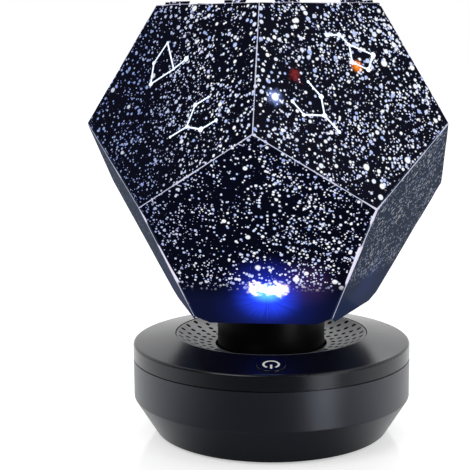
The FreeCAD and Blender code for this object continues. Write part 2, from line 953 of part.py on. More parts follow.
def film_panel_top():
    """The top panel, notched along its edges where the fins come through."""
    corners = panel_corners("top")
    sheet = panel_sheet(corners)
    notch_depth = film_seam + 2 * film_thickness + fin_notch_clearance
    for i in range(5):
        start, end = corners[i], corners[(i + 1) % 5]
        frame = edge_frame(start, end, middle_of(corners))
        for first, last in tab_spans():
            low = first - fin_notch_clearance
            high = last + fin_notch_clearance
            past = film_thickness
            shape = [(low, -past), (high, -past), (high, notch_depth), (low, notch_depth)]
            sheet = sheet.cut(edge_plate(start, frame, shape, -past, 3 * film_thickness))
    return sheet


def film_panel_bottom():
    """The bottom panel, inside the lower panels' lips, with its hole for the lamp and its screw holes."""
    lip_room = film_thickness / math.sin(film["fold"])
    sheet = panel_sheet(panel_corners("bottom"), lip_room + film_seam / 2)
    low = film_bottom_z - film_thickness
    high = film_bottom_z + 2 * film_thickness
    sheet = sheet.cut(cylinder(film_hole_radius, low, high))
    for x, y in clamp_screw_places:
        sheet = sheet.cut(cylinder(clamp_screw_radius + screw_clearance, low, high, x, y))
    return sheet


def film_panel_upper(index):
    """One of the five upper panels, with fins on top and tabs tucked into its neighbours."""
    after = (index + 1) % 5
    corners = panel_corners("upper", index)
    pieces = [panel_sheet(corners)]
    pieces += standing_fins(corners[0], corners[1], corners)
    pieces += tucked_tabs(film["top"][after], film["upper"][after], panel_corners("upper", after))
    pieces += tucked_tabs(film["upper"][after], film["lower"][index], panel_corners("lower", after))
    pieces += tucked_tabs(film["lower"][index], film["upper"][index], panel_corners("lower", index))
    return joined(pieces)


def film_panel_lower(index):
    """One of the five lower panels, with its lip, slits for the upper panels' tabs and its own tabs."""
    after = (index + 1) % 5
    before = (index - 1) % 5
    apex = film["upper"][index]
    corners = panel_corners("lower", index)
    lip = hanging_lip(film["bottom"][index], film["bottom"][before], corners)
    sheet = joined([panel_sheet(corners), lip])
    for shoulder in (film["lower"][index], film["lower"][before]):
        for cutter in locking_slits(apex, shoulder, corners):
            sheet = sheet.cut(cutter)
    pieces = [sheet]
    pieces += tucked_tabs(film["lower"][index], film["bottom"][index], panel_corners("lower", after))
    pieces += tucked_tabs(film["bottom"][index], film["bottom"][before], panel_corners("bottom"))
    return joined(pieces)


def gear_motor():
    """The round gear motor that hangs from its bracket."""
    top = bracket_z
    case = cylinder(motor_radius, top - motor_height, top, 0, motor_y)
    boss = cylinder(motor_boss_radius, top, top + motor_bracket_thickness, 0, motor_y)
    case = case.fuse(boss)
    bore = motor_shaft_radius + motor_shaft_fit
    bore_bottom = top - motor_shaft_sink - motor_shaft_fit
    return case.cut(cylinder(bore, bore_bottom, top + motor_bracket_thickness, 0, motor_y))


def motor_bracket():
    """The stamped plate that carries the motor on the tub's two posts."""
    reach = motor_screw_spacing / 2 + motor_bracket_end
    half = motor_bracket_width / 2
    top = bracket_z + motor_bracket_thickness
    plate = block(-reach, reach, motor_y - half, motor_y + half, bracket_z, top)
    upright = [e for e in plate.Edges if abs(e.Vertexes[0].Z - e.Vertexes[1].Z) > motor_bracket_thickness / 2]
    plate = plate.makeFillet(motor_bracket_end, upright)
    plate = plate.cut(cylinder(motor_boss_hole, bracket_z, top, 0, motor_y))
    for x, y in motor_post_places:
        plate = plate.cut(cylinder(motor_screw_radius + screw_clearance, bracket_z, top, x, y))
    return plate


def motor_screws():
    """The screws that hold the bracket to its posts."""
    seat = bracket_z + motor_bracket_thickness
    end = bracket_z - motor_screw_bite
    return Part.makeCompound([
        screw(x, y, seat, end, motor_screw_radius, motor_screw_head_radius, motor_screw_head)
        for x, y in motor_post_places
    ])


def motor_shaft():
    """The motor's output shaft, which runs in the motor's bore and drives the pinion."""
    bottom = bracket_z - motor_shaft_sink
    return cylinder(motor_shaft_radius, bottom, gear_top + pinion_extra_width, 0, motor_y)


def drive_pinion():
    """The small gear on the motor's shaft, in mesh with the large one."""
    first_tooth = -90.0 + 180.0 / pinion_teeth
    bottom = gear_z - pinion_extra_width
    top = gear_top + pinion_extra_width
    pinion = spur_gear(pinion_teeth, first_tooth, bottom, top, 0, motor_y)
    return pinion.cut(cylinder(motor_shaft_radius, bottom, top, 0, motor_y))


def main_board():
    """The main circuit board on its four posts, with its largest parts."""
    half = board_width / 2
    top = board_z + board_thickness
    board = block(-half, half, board_front_y, board_rear_y, board_z, top)
    for x, y in board_screw_places:
        board = board.cut(cylinder(board_screw_radius + screw_clearance, board_z, top, x, y))
    chip_y = board_front_y + chip_inset
    coil_y = board_front_y + coil_inset
    chip = block(-chip_size / 2, chip_size / 2, chip_y, chip_y + chip_size, top, top + chip_height)
    coil = block(coil_x, coil_x + coil_size, coil_y, coil_y + coil_size, top, top + coil_height)
    return joined([board, chip, coil])


def board_screws():
    """The screws that hold the main board."""
    seat = board_z + board_thickness
    end = board_z - board_screw_bite
    return Part.makeCompound([
        screw(x, y, seat, end, board_screw_radius, board_screw_head_radius, board_screw_head)
        for x, y in board_screw_places
    ])


def charging_socket():
    """The flat round-ended charging socket, open through the slot in the rear wall."""
    mouth = base_radius - socket_set_back
    back = mouth - socket_length
    shell = round_ended_bar(socket_width, socket_height, back, mouth, socket_z)
    cavity = round_ended_bar(
        socket_width - 2 * socket_shell,
        socket_height - 2 * socket_shell,
        mouth - socket_depth,
        mouth,
        socket_z,
    )
    half_width = socket_tongue_width / 2
    low = socket_z - socket_tongue_thickness / 2
    high = socket_z + socket_tongue_thickness / 2
    tongue = block(-half_width, half_width, back, mouth - socket_tongue_set_back, low, high)
    return joined([shell.cut(cavity), tongue])


def battery_axis_z():
    """The height of the battery's axis above the surface."""
    return floor_top + cradle_base + cradle_gap + battery_radius


def battery_cell():
    """The round rechargeable cell, lying along X, with its raised contact."""
    along = FreeCAD.Vector(1, 0, 0)
    start = FreeCAD.Vector(-battery_length / 2, battery_y, battery_axis_z())
    cell = Part.makeCylinder(battery_radius, battery_length, start, along)
    nub_start = start + along * battery_length
    return cell.fuse(Part.makeCylinder(battery_nub_radius, battery_nub_length, nub_start, along))


def battery_cradle():
    """The trough that holds the cell on the floor."""
    reach = battery_length / 2 + battery_nub_length + cradle_gap
    outer = reach + cradle_end_wall
    half = cradle_width / 2
    base = block(-outer, outer, battery_y - half, battery_y + half, floor_top, floor_top + cradle_height)
    start = FreeCAD.Vector(-reach, battery_y, battery_axis_z())
    trough = Part.makeCylinder(battery_radius + cradle_gap, 2 * reach, start, FreeCAD.Vector(1, 0, 0))
    return base.cut(trough)


def speaker_basket(side):
    """The speaker's pressed basket, whose flange lies on the tub's tube."""
    bottom = speaker_seat_z - speaker_basket_depth
    top = speaker_seat_z + speaker_flange
    inner = speaker_radius - speaker_tube_wall - speaker_basket_gap
    return turned([
        (0, bottom),
        (speaker_magnet_radius, bottom),
        (inner, speaker_seat_z),
        (speaker_radius, speaker_seat_z),
        (speaker_radius, top),
        (inner - speaker_basket_wall, top),
        (speaker_magnet_radius - speaker_basket_wall, bottom + speaker_basket_wall),
        (0, bottom + speaker_basket_wall),
    ], side * speaker_offset)


def speaker_magnet(side):
    """The round magnet under the basket."""
    top = speaker_seat_z - speaker_basket_depth
    return cylinder(speaker_magnet_radius, top - speaker_magnet_height, top, side * speaker_offset)


def speaker_cone(side):
    """The paper cone, with its raised dust cap, glued by its surround to the basket's flange."""
    top = speaker_seat_z + speaker_flange
    neck_z = top - speaker_cone_neck
    cone = turned([
        (0, neck_z),
        (speaker_cap_radius, neck_z),
        (speaker_cone_radius, top),
        (speaker_surround_radius, top),
        (speaker_surround_radius, top + speaker_cone_thickness),
        (speaker_cone_radius, top + speaker_cone_thickness),
        (speaker_cap_radius, neck_z + speaker_cone_thickness),
        (0, neck_z + speaker_cap_rise),
    ], side * speaker_offset)
    return cone


def power_button_cap():
    """The round button in the roof, with a flange under it, a stem and the symbol's recess."""
    bottom = button_proud - button_height
    cap = turned([
        (0, bottom - button_stem_length),
        (button_stem_radius, bottom - button_stem_length),
        (button_stem_radius, bottom),
        (button_flange_radius, bottom),
        (button_flange_radius, bottom + button_flange),
        (button_radius, bottom + button_flange),
        (button_radius, button_proud, button_chamfer),
        (0, button_proud),
    ])
    return on_roof(cap.cut(symbol_solid()))


def symbol_solid():
    """A broken ring with a bar in its gap, on the side of the button that faces out."""
    low = button_proud - symbol_depth
    ring = tube(symbol_radius, symbol_radius - symbol_stroke, low, button_proud)
    half_gap = math.radians(symbol_gap_angle / 2)
    reach = 2 * symbol_radius
    corners = [
        FreeCAD.Vector(0, 0, low),
        FreeCAD.Vector(-reach * math.sin(half_gap), -reach * math.cos(half_gap), low),
        FreeCAD.Vector(reach * math.sin(half_gap), -reach * math.cos(half_gap), low),
    ]
    wedge = Part.Face(Part.makePolygon(corners + corners[:1])).extrude(FreeCAD.Vector(0, 0, symbol_depth))
    half = symbol_stroke / 2
    bar = block(-half, half, -symbol_bar_outer, -symbol_bar_inner, low, button_proud)
    return Part.makeCompound([ring.cut(wedge), bar])


def power_symbol():
    """The pale inlay in the button's recess."""
    return on_roof(symbol_solid())


def switch_plunger():
    """The switch's moving plunger, under the button's stem."""
    return on_roof(cylinder(plunger_radius, plunger_top - plunger_length, plunger_top))


def button_switch():
    """The push switch's body, bored for its plunger."""
    half = switch_side / 2
    body = block(-half, half, -half, half, switch_bottom, switch_top)
    bore_bottom = plunger_top - plunger_length - button_travel - plunger_fit
    return on_roof(body.cut(cylinder(plunger_radius + plunger_fit, bore_bottom, switch_top)))


def button_board():
    """The small board under the button, hung on two bosses of the cover."""
    half_width = button_board_width / 2
    half_depth = button_board_depth / 2
    board = block(-half_width, half_width, -half_depth, half_depth, button_board_bottom, switch_bottom)
    for side in (-1, 1):
        x = side * button_post_spacing / 2
        hole = cylinder(button_screw_radius + screw_clearance, button_board_bottom, switch_bottom, x, 0)
        board = board.cut(hole)
    return on_roof(board)


def button_screws():
    """The screws that hold the button's board up against its bosses."""
    end = switch_bottom + button_screw_bite
    return on_roof(Part.makeCompound([
        screw(
            side * button_post_spacing / 2, 0, button_board_bottom, end,
            button_screw_radius, button_screw_head_radius, button_screw_head,
        )
        for side in (-1, 1)
    ]))


def all_parts():
    """Every piece by the name of its node."""
    parts = {
        "lower_housing": lower_housing(),
        "upper_cover": upper_cover(),
        "speaker_grille": speaker_grille(),
        "rubber_feet": rubber_feet(),
        "housing_screws": housing_screws(),
        "lamp_post": lamp_post(),
        "post_screws": post_screws(),
        "thrust_washer": thrust_washer(),
        "lamp_holder": lamp_holder(),
        "lamp_board": lamp_board(),
        "lamp_leds": lamp_leds(),
        "lamp_lens": lamp_lens(),
        "turntable_hub": turntable_hub(),
        "turntable_bush": turntable_bush(),
        "turntable_gear": turntable_gear(),
        "gear_screws": gear_screws(),
        "film_clamp_ring": film_clamp_ring(),
        "clamp_screws": clamp_screws(),
        "film_panel_top": film_panel_top(),
        "film_panel_bottom": film_panel_bottom(),
        "gear_motor": gear_motor(),
        "motor_bracket": motor_bracket(),
        "motor_screws": motor_screws(),
        "motor_shaft": motor_shaft(),
        "drive_pinion": drive_pinion(),
        "main_board": main_board(),
        "board_screws": board_screws(),
        "charging_socket": charging_socket(),
        "battery_cell": battery_cell(),
        "battery_cradle": battery_cradle(),
        "power_button_cap": power_button_cap(),
        "power_symbol": power_symbol(),
        "switch_plunger": switch_plunger(),
        "button_switch": button_switch(),
        "button_board": button_board(),
        "button_screws": button_screws(),
    }
    for index in range(5):
        parts["film_panel_upper_" + str(index + 1)] = film_panel_upper(index)
        parts["film_panel_lower_" + str(index + 1)] = film_panel_lower(index)
    for word, side in (("left", -1), ("right", 1)):
        parts["speaker_basket_" + word] = speaker_basket(side)
        parts["speaker_magnet_" + word] = speaker_magnet(side)
        parts["speaker_cone_" + word] = speaker_cone(side)
    return parts


os.makedirs("parts", exist_ok=True)
for name, shape in all_parts().items():
    shape.exportStep("parts/" + name + ".step")
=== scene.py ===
"""Looks of the planetarium projector: its finishes, star print, fasteners, light and camera."""
import json
import logging
import math
import random
from dataclasses import dataclass, field, replace
from enum import Enum
from typing import Any, Sequence

import bmesh
import bpy
from bpy.types import Material, Mesh, Node, NodeSocket, NodeTree, Object
from mathutils import Matrix, Vector
from mathutils.bvhtree import BVHTree


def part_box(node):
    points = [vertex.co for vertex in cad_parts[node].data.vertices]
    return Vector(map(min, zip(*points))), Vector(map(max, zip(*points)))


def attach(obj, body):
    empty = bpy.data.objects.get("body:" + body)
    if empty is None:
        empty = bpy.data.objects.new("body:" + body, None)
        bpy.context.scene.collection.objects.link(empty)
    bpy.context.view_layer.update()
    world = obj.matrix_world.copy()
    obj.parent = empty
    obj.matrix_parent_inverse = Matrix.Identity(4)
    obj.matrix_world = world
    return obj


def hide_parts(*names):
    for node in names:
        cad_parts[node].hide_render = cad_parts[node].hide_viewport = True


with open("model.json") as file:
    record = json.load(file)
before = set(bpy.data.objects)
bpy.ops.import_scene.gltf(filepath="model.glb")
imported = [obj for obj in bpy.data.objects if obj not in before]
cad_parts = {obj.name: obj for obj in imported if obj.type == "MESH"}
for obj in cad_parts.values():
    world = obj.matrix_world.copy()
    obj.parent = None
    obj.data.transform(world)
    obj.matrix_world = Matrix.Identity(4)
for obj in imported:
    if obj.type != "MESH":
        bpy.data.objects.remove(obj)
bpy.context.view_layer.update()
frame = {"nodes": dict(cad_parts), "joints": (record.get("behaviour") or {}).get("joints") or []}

LOG = logging.getLogger("projector")
MM = 0.001
UP = Vector((0, 0, 1))
GOLDEN = (1 + math.sqrt(5)) / 2
# The angle between two panels' directions on a regular body of twelve sides.
FOLD_ANGLE = math.acos(1 / math.sqrt(5))
# How high the body's middle corners lie, as a share of the distance from its centre to a panel.
CORNER_LEVEL = math.sqrt(5.0) - 2.0
# Which of the body's six directions the bottom panel and the front lower panel face away from.
BOTTOM_AXIS = 0
FRONT_AXIS = 3

# How far apart a moulding's glossier and duller patches lie, in millimetres.
SLOW_CHANGE = 20.0

# Where a copy goes, in metres, and the direction that it faces.
Place = tuple[Vector, Vector]


def linear(code: str, gain: float = 1.0) -> tuple[float, float, float, float]:
    """Turns an sRGB hex colour into a linear one.

    Args:
        code: The colour as #rrggbb.
        gain: What the linear values are multiplied by.

    Returns:
        Red, green and blue as linear values, with an alpha of 1.
    """
    parts = [int(code[i:i + 2], 16) / 255 for i in (1, 3, 5)]
    red, green, blue = [p / 12.92 if p <= 0.04045 else ((p + 0.055) / 1.055) ** 2.4 for p in parts]
    return gain * red, gain * green, gain * blue, 1.0


def add(tree: NodeTree, kind: str, inputs: dict[Any, Any] | None = None, **settings: Any) -> Node:
    """Adds a node, sets its properties, and fills its inputs with values or links.

    Args:
        tree: The tree that the node goes into.
        kind: The node's type.
        inputs: Values or output sockets by the input's name or number.
        **settings: Properties of the node.

    Returns:
        The new node.
    """
    node = tree.nodes.new(kind)
    for name, value in settings.items():
        setattr(node, name, value)
    for key, value in (inputs or {}).items():
        if isinstance(value, NodeSocket):
            tree.links.new(value, node.inputs[key])
        else:
            node.inputs[key].default_value = value
    return node


def mesh_object(name: str, mesh: Mesh) -> Object:
    """Makes an object at the origin for a mesh and links it to the scene.

    Args:
        name: The object's name.
        mesh: Its mesh.

    Returns:
        The new object.
    """
    made = bpy.data.objects.new(name, mesh)
    bpy.context.scene.collection.objects.link(made)
    return made


def baked(source: Object, name: str) -> Object:
    """Turns an object with modifiers into a plain mesh object, and removes the first one.

    Args:
        source: The object whose modifiers are applied.
        name: The name of the plain object.

    Returns:
        The plain object.
    """
    graph = bpy.context.evaluated_depsgraph_get()
    mesh = bpy.data.meshes.new_from_object(source.evaluated_get(graph), depsgraph=graph)
    bpy.data.objects.remove(source)
    made = mesh_object(name, mesh)
    made.data.name = name
    return made


def paint(target: Object, material: Material) -> None:
    """Puts one material on every slot of an object.

    Args:
        target: The object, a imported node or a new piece.
        material: The material that it wears.
    """
    if not target.material_slots:
        target.data.materials.append(material)
    for place in target.material_slots:
        place.material = material


def mesh_from(made: bmesh.types.BMesh, name: str) -> Mesh:
    """Turns every face outwards, makes the mesh and frees what it was built in.

    Args:
        made: What was built, in metres.
        name: The mesh's name.

    Returns:
        The mesh.
    """
    bmesh.ops.recalc_face_normals(made, faces=made.faces)
    mesh = bpy.data.meshes.new(name)
    made.to_mesh(mesh)
    made.free()
    return mesh


def pull(made: bmesh.types.BMesh, corners: Sequence[Vector], way: Vector) -> None:
    """Adds a flat face and pulls it out into a prism.

    Args:
        made: What is being built.
        corners: The face's corners, in order.
        way: How far it is pulled, and which way.
    """
    low = made.faces.new([made.verts.new(corner) for corner in corners])
    grown = bmesh.ops.extrude_face_region(made, geom=[low])["geom"]
    lifted = [v for v in grown if isinstance(v, bmesh.types.BMVert)]
    bmesh.ops.translate(made, verts=lifted, vec=way)


def turned_mesh(name: str, outline: Sequence[tuple[float, float]], sides: int) -> Mesh:
    """Turns an outline about +Z into a closed mesh, whose first and last points lie on the axis.

    Args:
        name: The mesh's name.
        outline: Radius and height of each point, in millimetres, from the bottom to the top.
        sides: How many sides a full turn has.

    Returns:
        The mesh, in metres.
    """
    made = bmesh.new()
    turns = [2 * math.pi * i / sides for i in range(sides)]
    rings = []
    for radius, height in outline:
        ring = [Vector((radius * math.cos(t), radius * math.sin(t), height)) * MM for t in turns]
        rings.append([made.verts.new(point) for point in (ring if radius else ring[:1])])
    for low, high in zip(rings, rings[1:]):
        for i in range(sides):
            j = (i + 1) % sides
            corners = [low[i % len(low)], low[j % len(low)], high[j % len(high)], high[i % len(high)]]
            made.faces.new(list(dict.fromkeys(corners)))
    return mesh_from(made, name)


def block_mesh(name: str, blocks: Sequence[tuple[Vector, Vector]]) -> Mesh:
    """Makes a mesh of square blocks with softened edges.

    Args:
        name: The mesh's name.
        blocks: The middle and the full size of each block, in millimetres.

    Returns:
        The mesh, in metres.
    """
    made = bmesh.new()
    for middle, size in blocks:
        place = Matrix.Translation(middle * MM) @ Matrix.Diagonal((*(size * MM), 1.0))
        bmesh.ops.create_cube(made, size=1.0, matrix=place)
    soft = 0.15 * min(min(size) for _, size in blocks) * MM
    bmesh.ops.bevel(made, geom=list(made.edges), offset=soft, segments=1, affect="EDGES")
    return mesh_from(made, name)


@dataclass(frozen=True)
class Finish:
    """What every finish has: a name, a colour and how rough its surface is."""

    name: str
    colour: str
    roughness: float

    def material(self) -> Material:
        """Builds the material once, and gives the same one afterwards.

        Returns:
            The finish as a material.
        """
        found = bpy.data.materials.get(self.name)
        if found:
            return found
        made = bpy.data.materials.new(self.name)
        made.use_nodes = True
        tree = made.node_tree
        tree.nodes.clear()
        shader = add(tree, "ShaderNodeBsdfPrincipled", {
            "Base Color": linear(self.colour),
            "Roughness": self.roughness,
        })
        add(tree, "ShaderNodeOutputMaterial", {"Surface": shader.outputs[0]})
        self.detail(tree, shader)
        return made

    def detail(self, tree: NodeTree, shader: Node) -> None:
        """Adds what is special to the finish.

        Args:
            tree: The material's tree.
            shader: Its principled shader.
        """

    @staticmethod
    def millimetres(tree: NodeTree) -> NodeSocket:
        """Gives the object coordinates in millimetres.

        Args:
            tree: The material's tree.

        Returns:
            The socket that holds them.
        """
        place = add(tree, "ShaderNodeTexCoord").outputs["Object"]
        return add(tree, "ShaderNodeVectorMath", {0: place, "Scale": 1 / MM}, operation="SCALE").outputs[0]

    def grained(self, tree: NodeTree, shader: Node, grain: float, depth: float, unevenness: float) -> None:
        """Adds a fine grain as bump and colour, and a slow change of gloss.

        Args:
            tree: The material's tree.
            shader: Its principled shader.
            grain: The size of a grain in millimetres.
            depth: The height of the grain in millimetres.
            unevenness: How far the roughness wanders.
        """
        place = self.millimetres(tree)
        fine = add(tree, "ShaderNodeTexNoise", {"Vector": place, "Scale": 1 / grain, "Detail": 3.0})
        bump = add(tree, "ShaderNodeBump", {"Height": fine.outputs[0], "Distance": depth * MM})
        slow = add(tree, "ShaderNodeTexNoise", {"Vector": place, "Scale": 1 / SLOW_CHANGE, "Detail": 2.0})
        gloss = add(tree, "ShaderNodeMapRange", {
            "Value": slow.outputs[0],
            "To Min": self.roughness - unevenness,
            "To Max": self.roughness + unevenness,
        })
        shade = add(tree, "ShaderNodeMix", {
            0: fine.outputs[0],
            6: linear(self.colour, 0.85),
            7: linear(self.colour, 1.2),
        }, data_type="RGBA")
        tree.links.new(shade.outputs[2], shader.inputs["Base Color"])
        tree.links.new(gloss.outputs[0], shader.inputs["Roughness"])
        tree.links.new(bump.outputs[0], shader.inputs["Normal"])


@dataclass(frozen=True)
class MouldedPlastic(Finish):
    """Injection moulded plastic: a fine spark-eroded grain that breaks up its highlights.

    The grain's size and depth are in millimetres. The real grain is nearer 0.05 mm and is drawn
    coarser, so that it shows.
    """

    grain: float = 0.35
    grain_depth: float = 0.006
    specular: float = 0.5
    tint: str = "#ffffff"

    def detail(self, tree: NodeTree, shader: Node) -> None:
        """Adds the mould's grain, a slow change of gloss and the reflections' strength.

        Args:
            tree: The material's tree.
            shader: Its principled shader.
        """
        self.grained(tree, shader, grain=self.grain, depth=self.grain_depth, unevenness=0.04)
        shader.inputs["Specular IOR Level"].default_value = self.specular
        shader.inputs["Specular Tint"].default_value = linear(self.tint)


@dataclass(frozen=True)
class PerforatedPlastic(MouldedPlastic):
    """The moulded bowl: satin on its face, with painted shade inside its holes.

    The last two tell how far upwards a hole's wall and the bowl's face point, as the height of a
    unit vector.
    """

    hole_painted_shade: str = "#050506"
    steepest_face: float = 0.6
    flattest_wall: float = 0.35

    def detail(self, tree: NodeTree, shader: Node) -> None:
        """Adds the mould's grain, and paints shade on every face that stands upright: dark and dull.

        Args:
            tree: The material's tree.
            shader: Its principled shader.
        """
        super().detail(tree, shader)
        colour, gloss = (shader.inputs[name].links[0].from_socket for name in ("Base Color", "Roughness"))
        facing = add(tree, "ShaderNodeTexCoord").outputs["Normal"]
        upright = add(tree, "ShaderNodeSeparateXYZ", {0: facing}).outputs[2]
        open_face = add(tree, "ShaderNodeMapRange", {
            "Value": upright,
            "From Min": self.flattest_wall,
            "From Max": self.steepest_face,
        }).outputs[0]
        # Painted shade: the upright faces, which are the holes' walls, are painted near black and made fully rough.
        shade = add(tree, "ShaderNodeMix", {
            0: open_face,
            6: linear(self.hole_painted_shade),
            7: colour,
        }, data_type="RGBA")
        dull = add(tree, "ShaderNodeMapRange", {"Value": open_face, "To Min": 1.0, "To Max": gloss})
        tree.links.new(shade.outputs[2], shader.inputs["Base Color"])
        tree.links.new(dull.outputs[0], shader.inputs["Roughness"])


@dataclass(frozen=True)
class Rubber(Finish):
    """Matt synthetic rubber: dark, with a faint bloom and a soft coarse grain."""

    def detail(self, tree: NodeTree, shader: Node) -> None:
        """Adds the grain and a low specular level.

        Args:
            tree: The material's tree.
            shader: Its principled shader.
        """
        self.grained(tree, shader, grain=0.5, depth=0.02, unevenness=0.08)
        shader.inputs["Specular IOR Level"].default_value = 0.3


class Brushing(Enum):
    """Which way the fine scratches of a metal run, as the scale of their pattern each way."""

    ROUND = (1.0, 1.0, 0.05)
    ALONG_X = (0.05, 1.0, 1.0)
    NONE = (1.0, 1.0, 1.0)


@dataclass(frozen=True)
class Metal(Finish):
    """Bare or plated metal: bright, with fine scratches that stretch its highlights.

    The scratches are measured in millimetres; brighter and duller tell how far they move the
    roughness each way.
    """

    brushing: Brushing = Brushing.NONE
    scratch_width: float = 1 / 6
    scratch_depth: float = 0.003
    brighter: float = 0.08
    duller: float = 0.12

    def detail(self, tree: NodeTree, shader: Node) -> None:
        """Adds the scratches to roughness and bump.

        Args:
            tree: The material's tree.
            shader: Its principled shader.
        """
        shader.inputs["Metallic"].default_value = 1.0
        place = add(tree, "ShaderNodeMapping", {
            "Vector": self.millimetres(tree),
            "Scale": self.brushing.value,
        }).outputs[0]
        scratch = add(tree, "ShaderNodeTexNoise", {"Vector": place, "Scale": 1 / self.scratch_width, "Detail": 4.0})
        gloss = add(tree, "ShaderNodeMapRange", {
            "Value": scratch.outputs[0],
            "To Min": self.roughness - self.brighter,
            "To Max": self.roughness + self.duller,
        })
        bump = add(tree, "ShaderNodeBump", {"Height": scratch.outputs[0], "Distance": self.scratch_depth * MM})
        tree.links.new(gloss.outputs[0], shader.inputs["Roughness"])
        tree.links.new(bump.outputs[0], shader.inputs["Normal"])


@dataclass(frozen=True)
class CircuitBoard(Finish):
    """Glass-fibre board under solder mask: green, with paler tracks and tinned pads.

    Lengths are in millimetres, and the shares are of the pitch.
    """

    track_pitch: float = 1.6
    track_share: float = 0.07
    pad_share: float = 0.16
    pad_colour: str = "#c9c6bd"
    track_height: float = 0.03

    def detail(self, tree: NodeTree, shader: Node) -> None:
        """Adds tracks as the borders of cells, and pads at the cells' centres.

        Args:
            tree: The material's tree.
            shader: Its principled shader.
        """
        place = self.millimetres(tree)
        cells = {"Vector": place, "Scale": 1 / self.track_pitch, "Randomness": 0.4}
        border = add(tree, "ShaderNodeTexVoronoi", cells, feature="DISTANCE_TO_EDGE", distance="EUCLIDEAN")
        centre = add(tree, "ShaderNodeTexVoronoi", cells, distance="CHEBYCHEV")
        edge, middle = border.outputs["Distance"], centre.outputs["Distance"]
        track = add(tree, "ShaderNodeMath", {0: edge, 1: self.track_share}, operation="LESS_THAN")
        pad = add(tree, "ShaderNodeMath", {0: middle, 1: self.pad_share}, operation="LESS_THAN")
        masked = add(tree, "ShaderNodeMix", {
            0: track.outputs[0],
            6: linear(self.colour),
            7: linear(self.colour, 2.2),
        }, data_type="RGBA")
        face = add(tree, "ShaderNodeMix", {
            0: pad.outputs[0],
            6: masked.outputs[2],
            7: linear(self.pad_colour),
        }, data_type="RGBA")
        bump = add(tree, "ShaderNodeBump", {"Height": track.outputs[0], "Distance": self.track_height * MM})
        tree.links.new(face.outputs[2], shader.inputs["Base Color"])
        tree.links.new(pad.outputs[0], shader.inputs["Metallic"])
        tree.links.new(bump.outputs[0], shader.inputs["Normal"])


@dataclass(frozen=True)
class GlowingResin(Finish):
    """Clear or phosphor-filled resin with light in it, or an inlay with a painted glow: smooth, and
    brighter than what is round it.

    The size of its clouds is in millimetres.
    """

    light: str = "#dfe6ff"
    strength: float = 1.0
    cloud_size: float = 5 / 3

    def detail(self, tree: NodeTree, shader: Node) -> None:
        """Adds the light, a little cloudiness and a polished surface.

        Args:
            tree: The material's tree.
            shader: Its principled shader.
        """
        cloud = add(tree, "ShaderNodeTexNoise", {
            "Vector": self.millimetres(tree),
            "Scale": 1 / self.cloud_size,
            "Detail": 2.0,
        })
        glow = add(tree, "ShaderNodeMapRange", {
            "Value": cloud.outputs[0],
            "To Min": 0.8 * self.strength,
            "To Max": 1.2 * self.strength,
        })
        shader.inputs["Emission Color"].default_value = linear(self.light)
        tree.links.new(glow.outputs[0], shader.inputs["Emission Strength"])


@dataclass(frozen=True)
class PressedPaper(Finish):
    """Pressed paper pulp: matt, with short tangled fibres."""

    def detail(self, tree: NodeTree, shader: Node) -> None:
        """Adds the fibres.

        Args:
            tree: The material's tree.
            shader: Its principled shader.
        """
        self.grained(tree, shader, grain=0.6, depth=0.05, unevenness=0.05)
        shader.inputs["Specular IOR Level"].default_value = 0.2


@dataclass(frozen=True)
class CellSleeve(Finish):
    """A heat-shrunk sleeve on a nickelled steel cell, open at both ends.

    Lengths are in millimetres, and the sleeve's ends are measured from the middle.
    """

    sleeve_end: float = 31.6
    metal: str = "#b9b6b0"
    wrinkle_size: float = 10 / 7
    wrinkle_height: float = 0.05

    def detail(self, tree: NodeTree, shader: Node) -> None:
        """Bares the metal beyond the sleeve's ends, and wrinkles the sleeve.

        Args:
            tree: The material's tree.
            shader: Its principled shader.
        """
        place = self.millimetres(tree)
        along = add(tree, "ShaderNodeSeparateXYZ", {0: place}).outputs[0]
        away = add(tree, "ShaderNodeMath", {0: along}, operation="ABSOLUTE").outputs[0]
        bare = add(tree, "ShaderNodeMath", {0: away, 1: self.sleeve_end}, operation="GREATER_THAN").outputs[0]
        face = add(tree, "ShaderNodeMix", {
            0: bare,
            6: linear(self.colour),
            7: linear(self.metal),
        }, data_type="RGBA")
        wrinkle = add(tree, "ShaderNodeTexNoise", {"Vector": place, "Scale": 1 / self.wrinkle_size, "Detail": 2.0})
        bump = add(tree, "ShaderNodeBump", {"Height": wrinkle.outputs[0], "Distance": self.wrinkle_height * MM})
        tree.links.new(face.outputs[2], shader.inputs["Base Color"])
        tree.links.new(bare, shader.inputs["Metallic"])
        tree.links.new(bump.outputs[0], shader.inputs["Normal"])


@dataclass(frozen=True)
class StarLayer:
    """One size of printed star: the spacing of its cells and its largest radius, in millimetres.

    Stars at the bottom have the low share of their full size. Those that gather, as a share, are
    smaller between the clouds.
    """

    cell: float
    radius: float
    brightness: float
    tint: str
    low_share: float = 1.0
    gather: float = 0.0


@dataclass(frozen=True)
class FilmSpot:
    """A soft spot of light on the film: its middle and its reach each way, in millimetres.

    Rays tell how strongly it streams outward, as a share, and ragged how far its edge is torn, in
    millimetres.
    """

    middle: tuple[float, float, float]
    reach: tuple[float, float, float]
    colour: str
    strength: float
    rays: float = 0.0
    ragged: float = 0.0


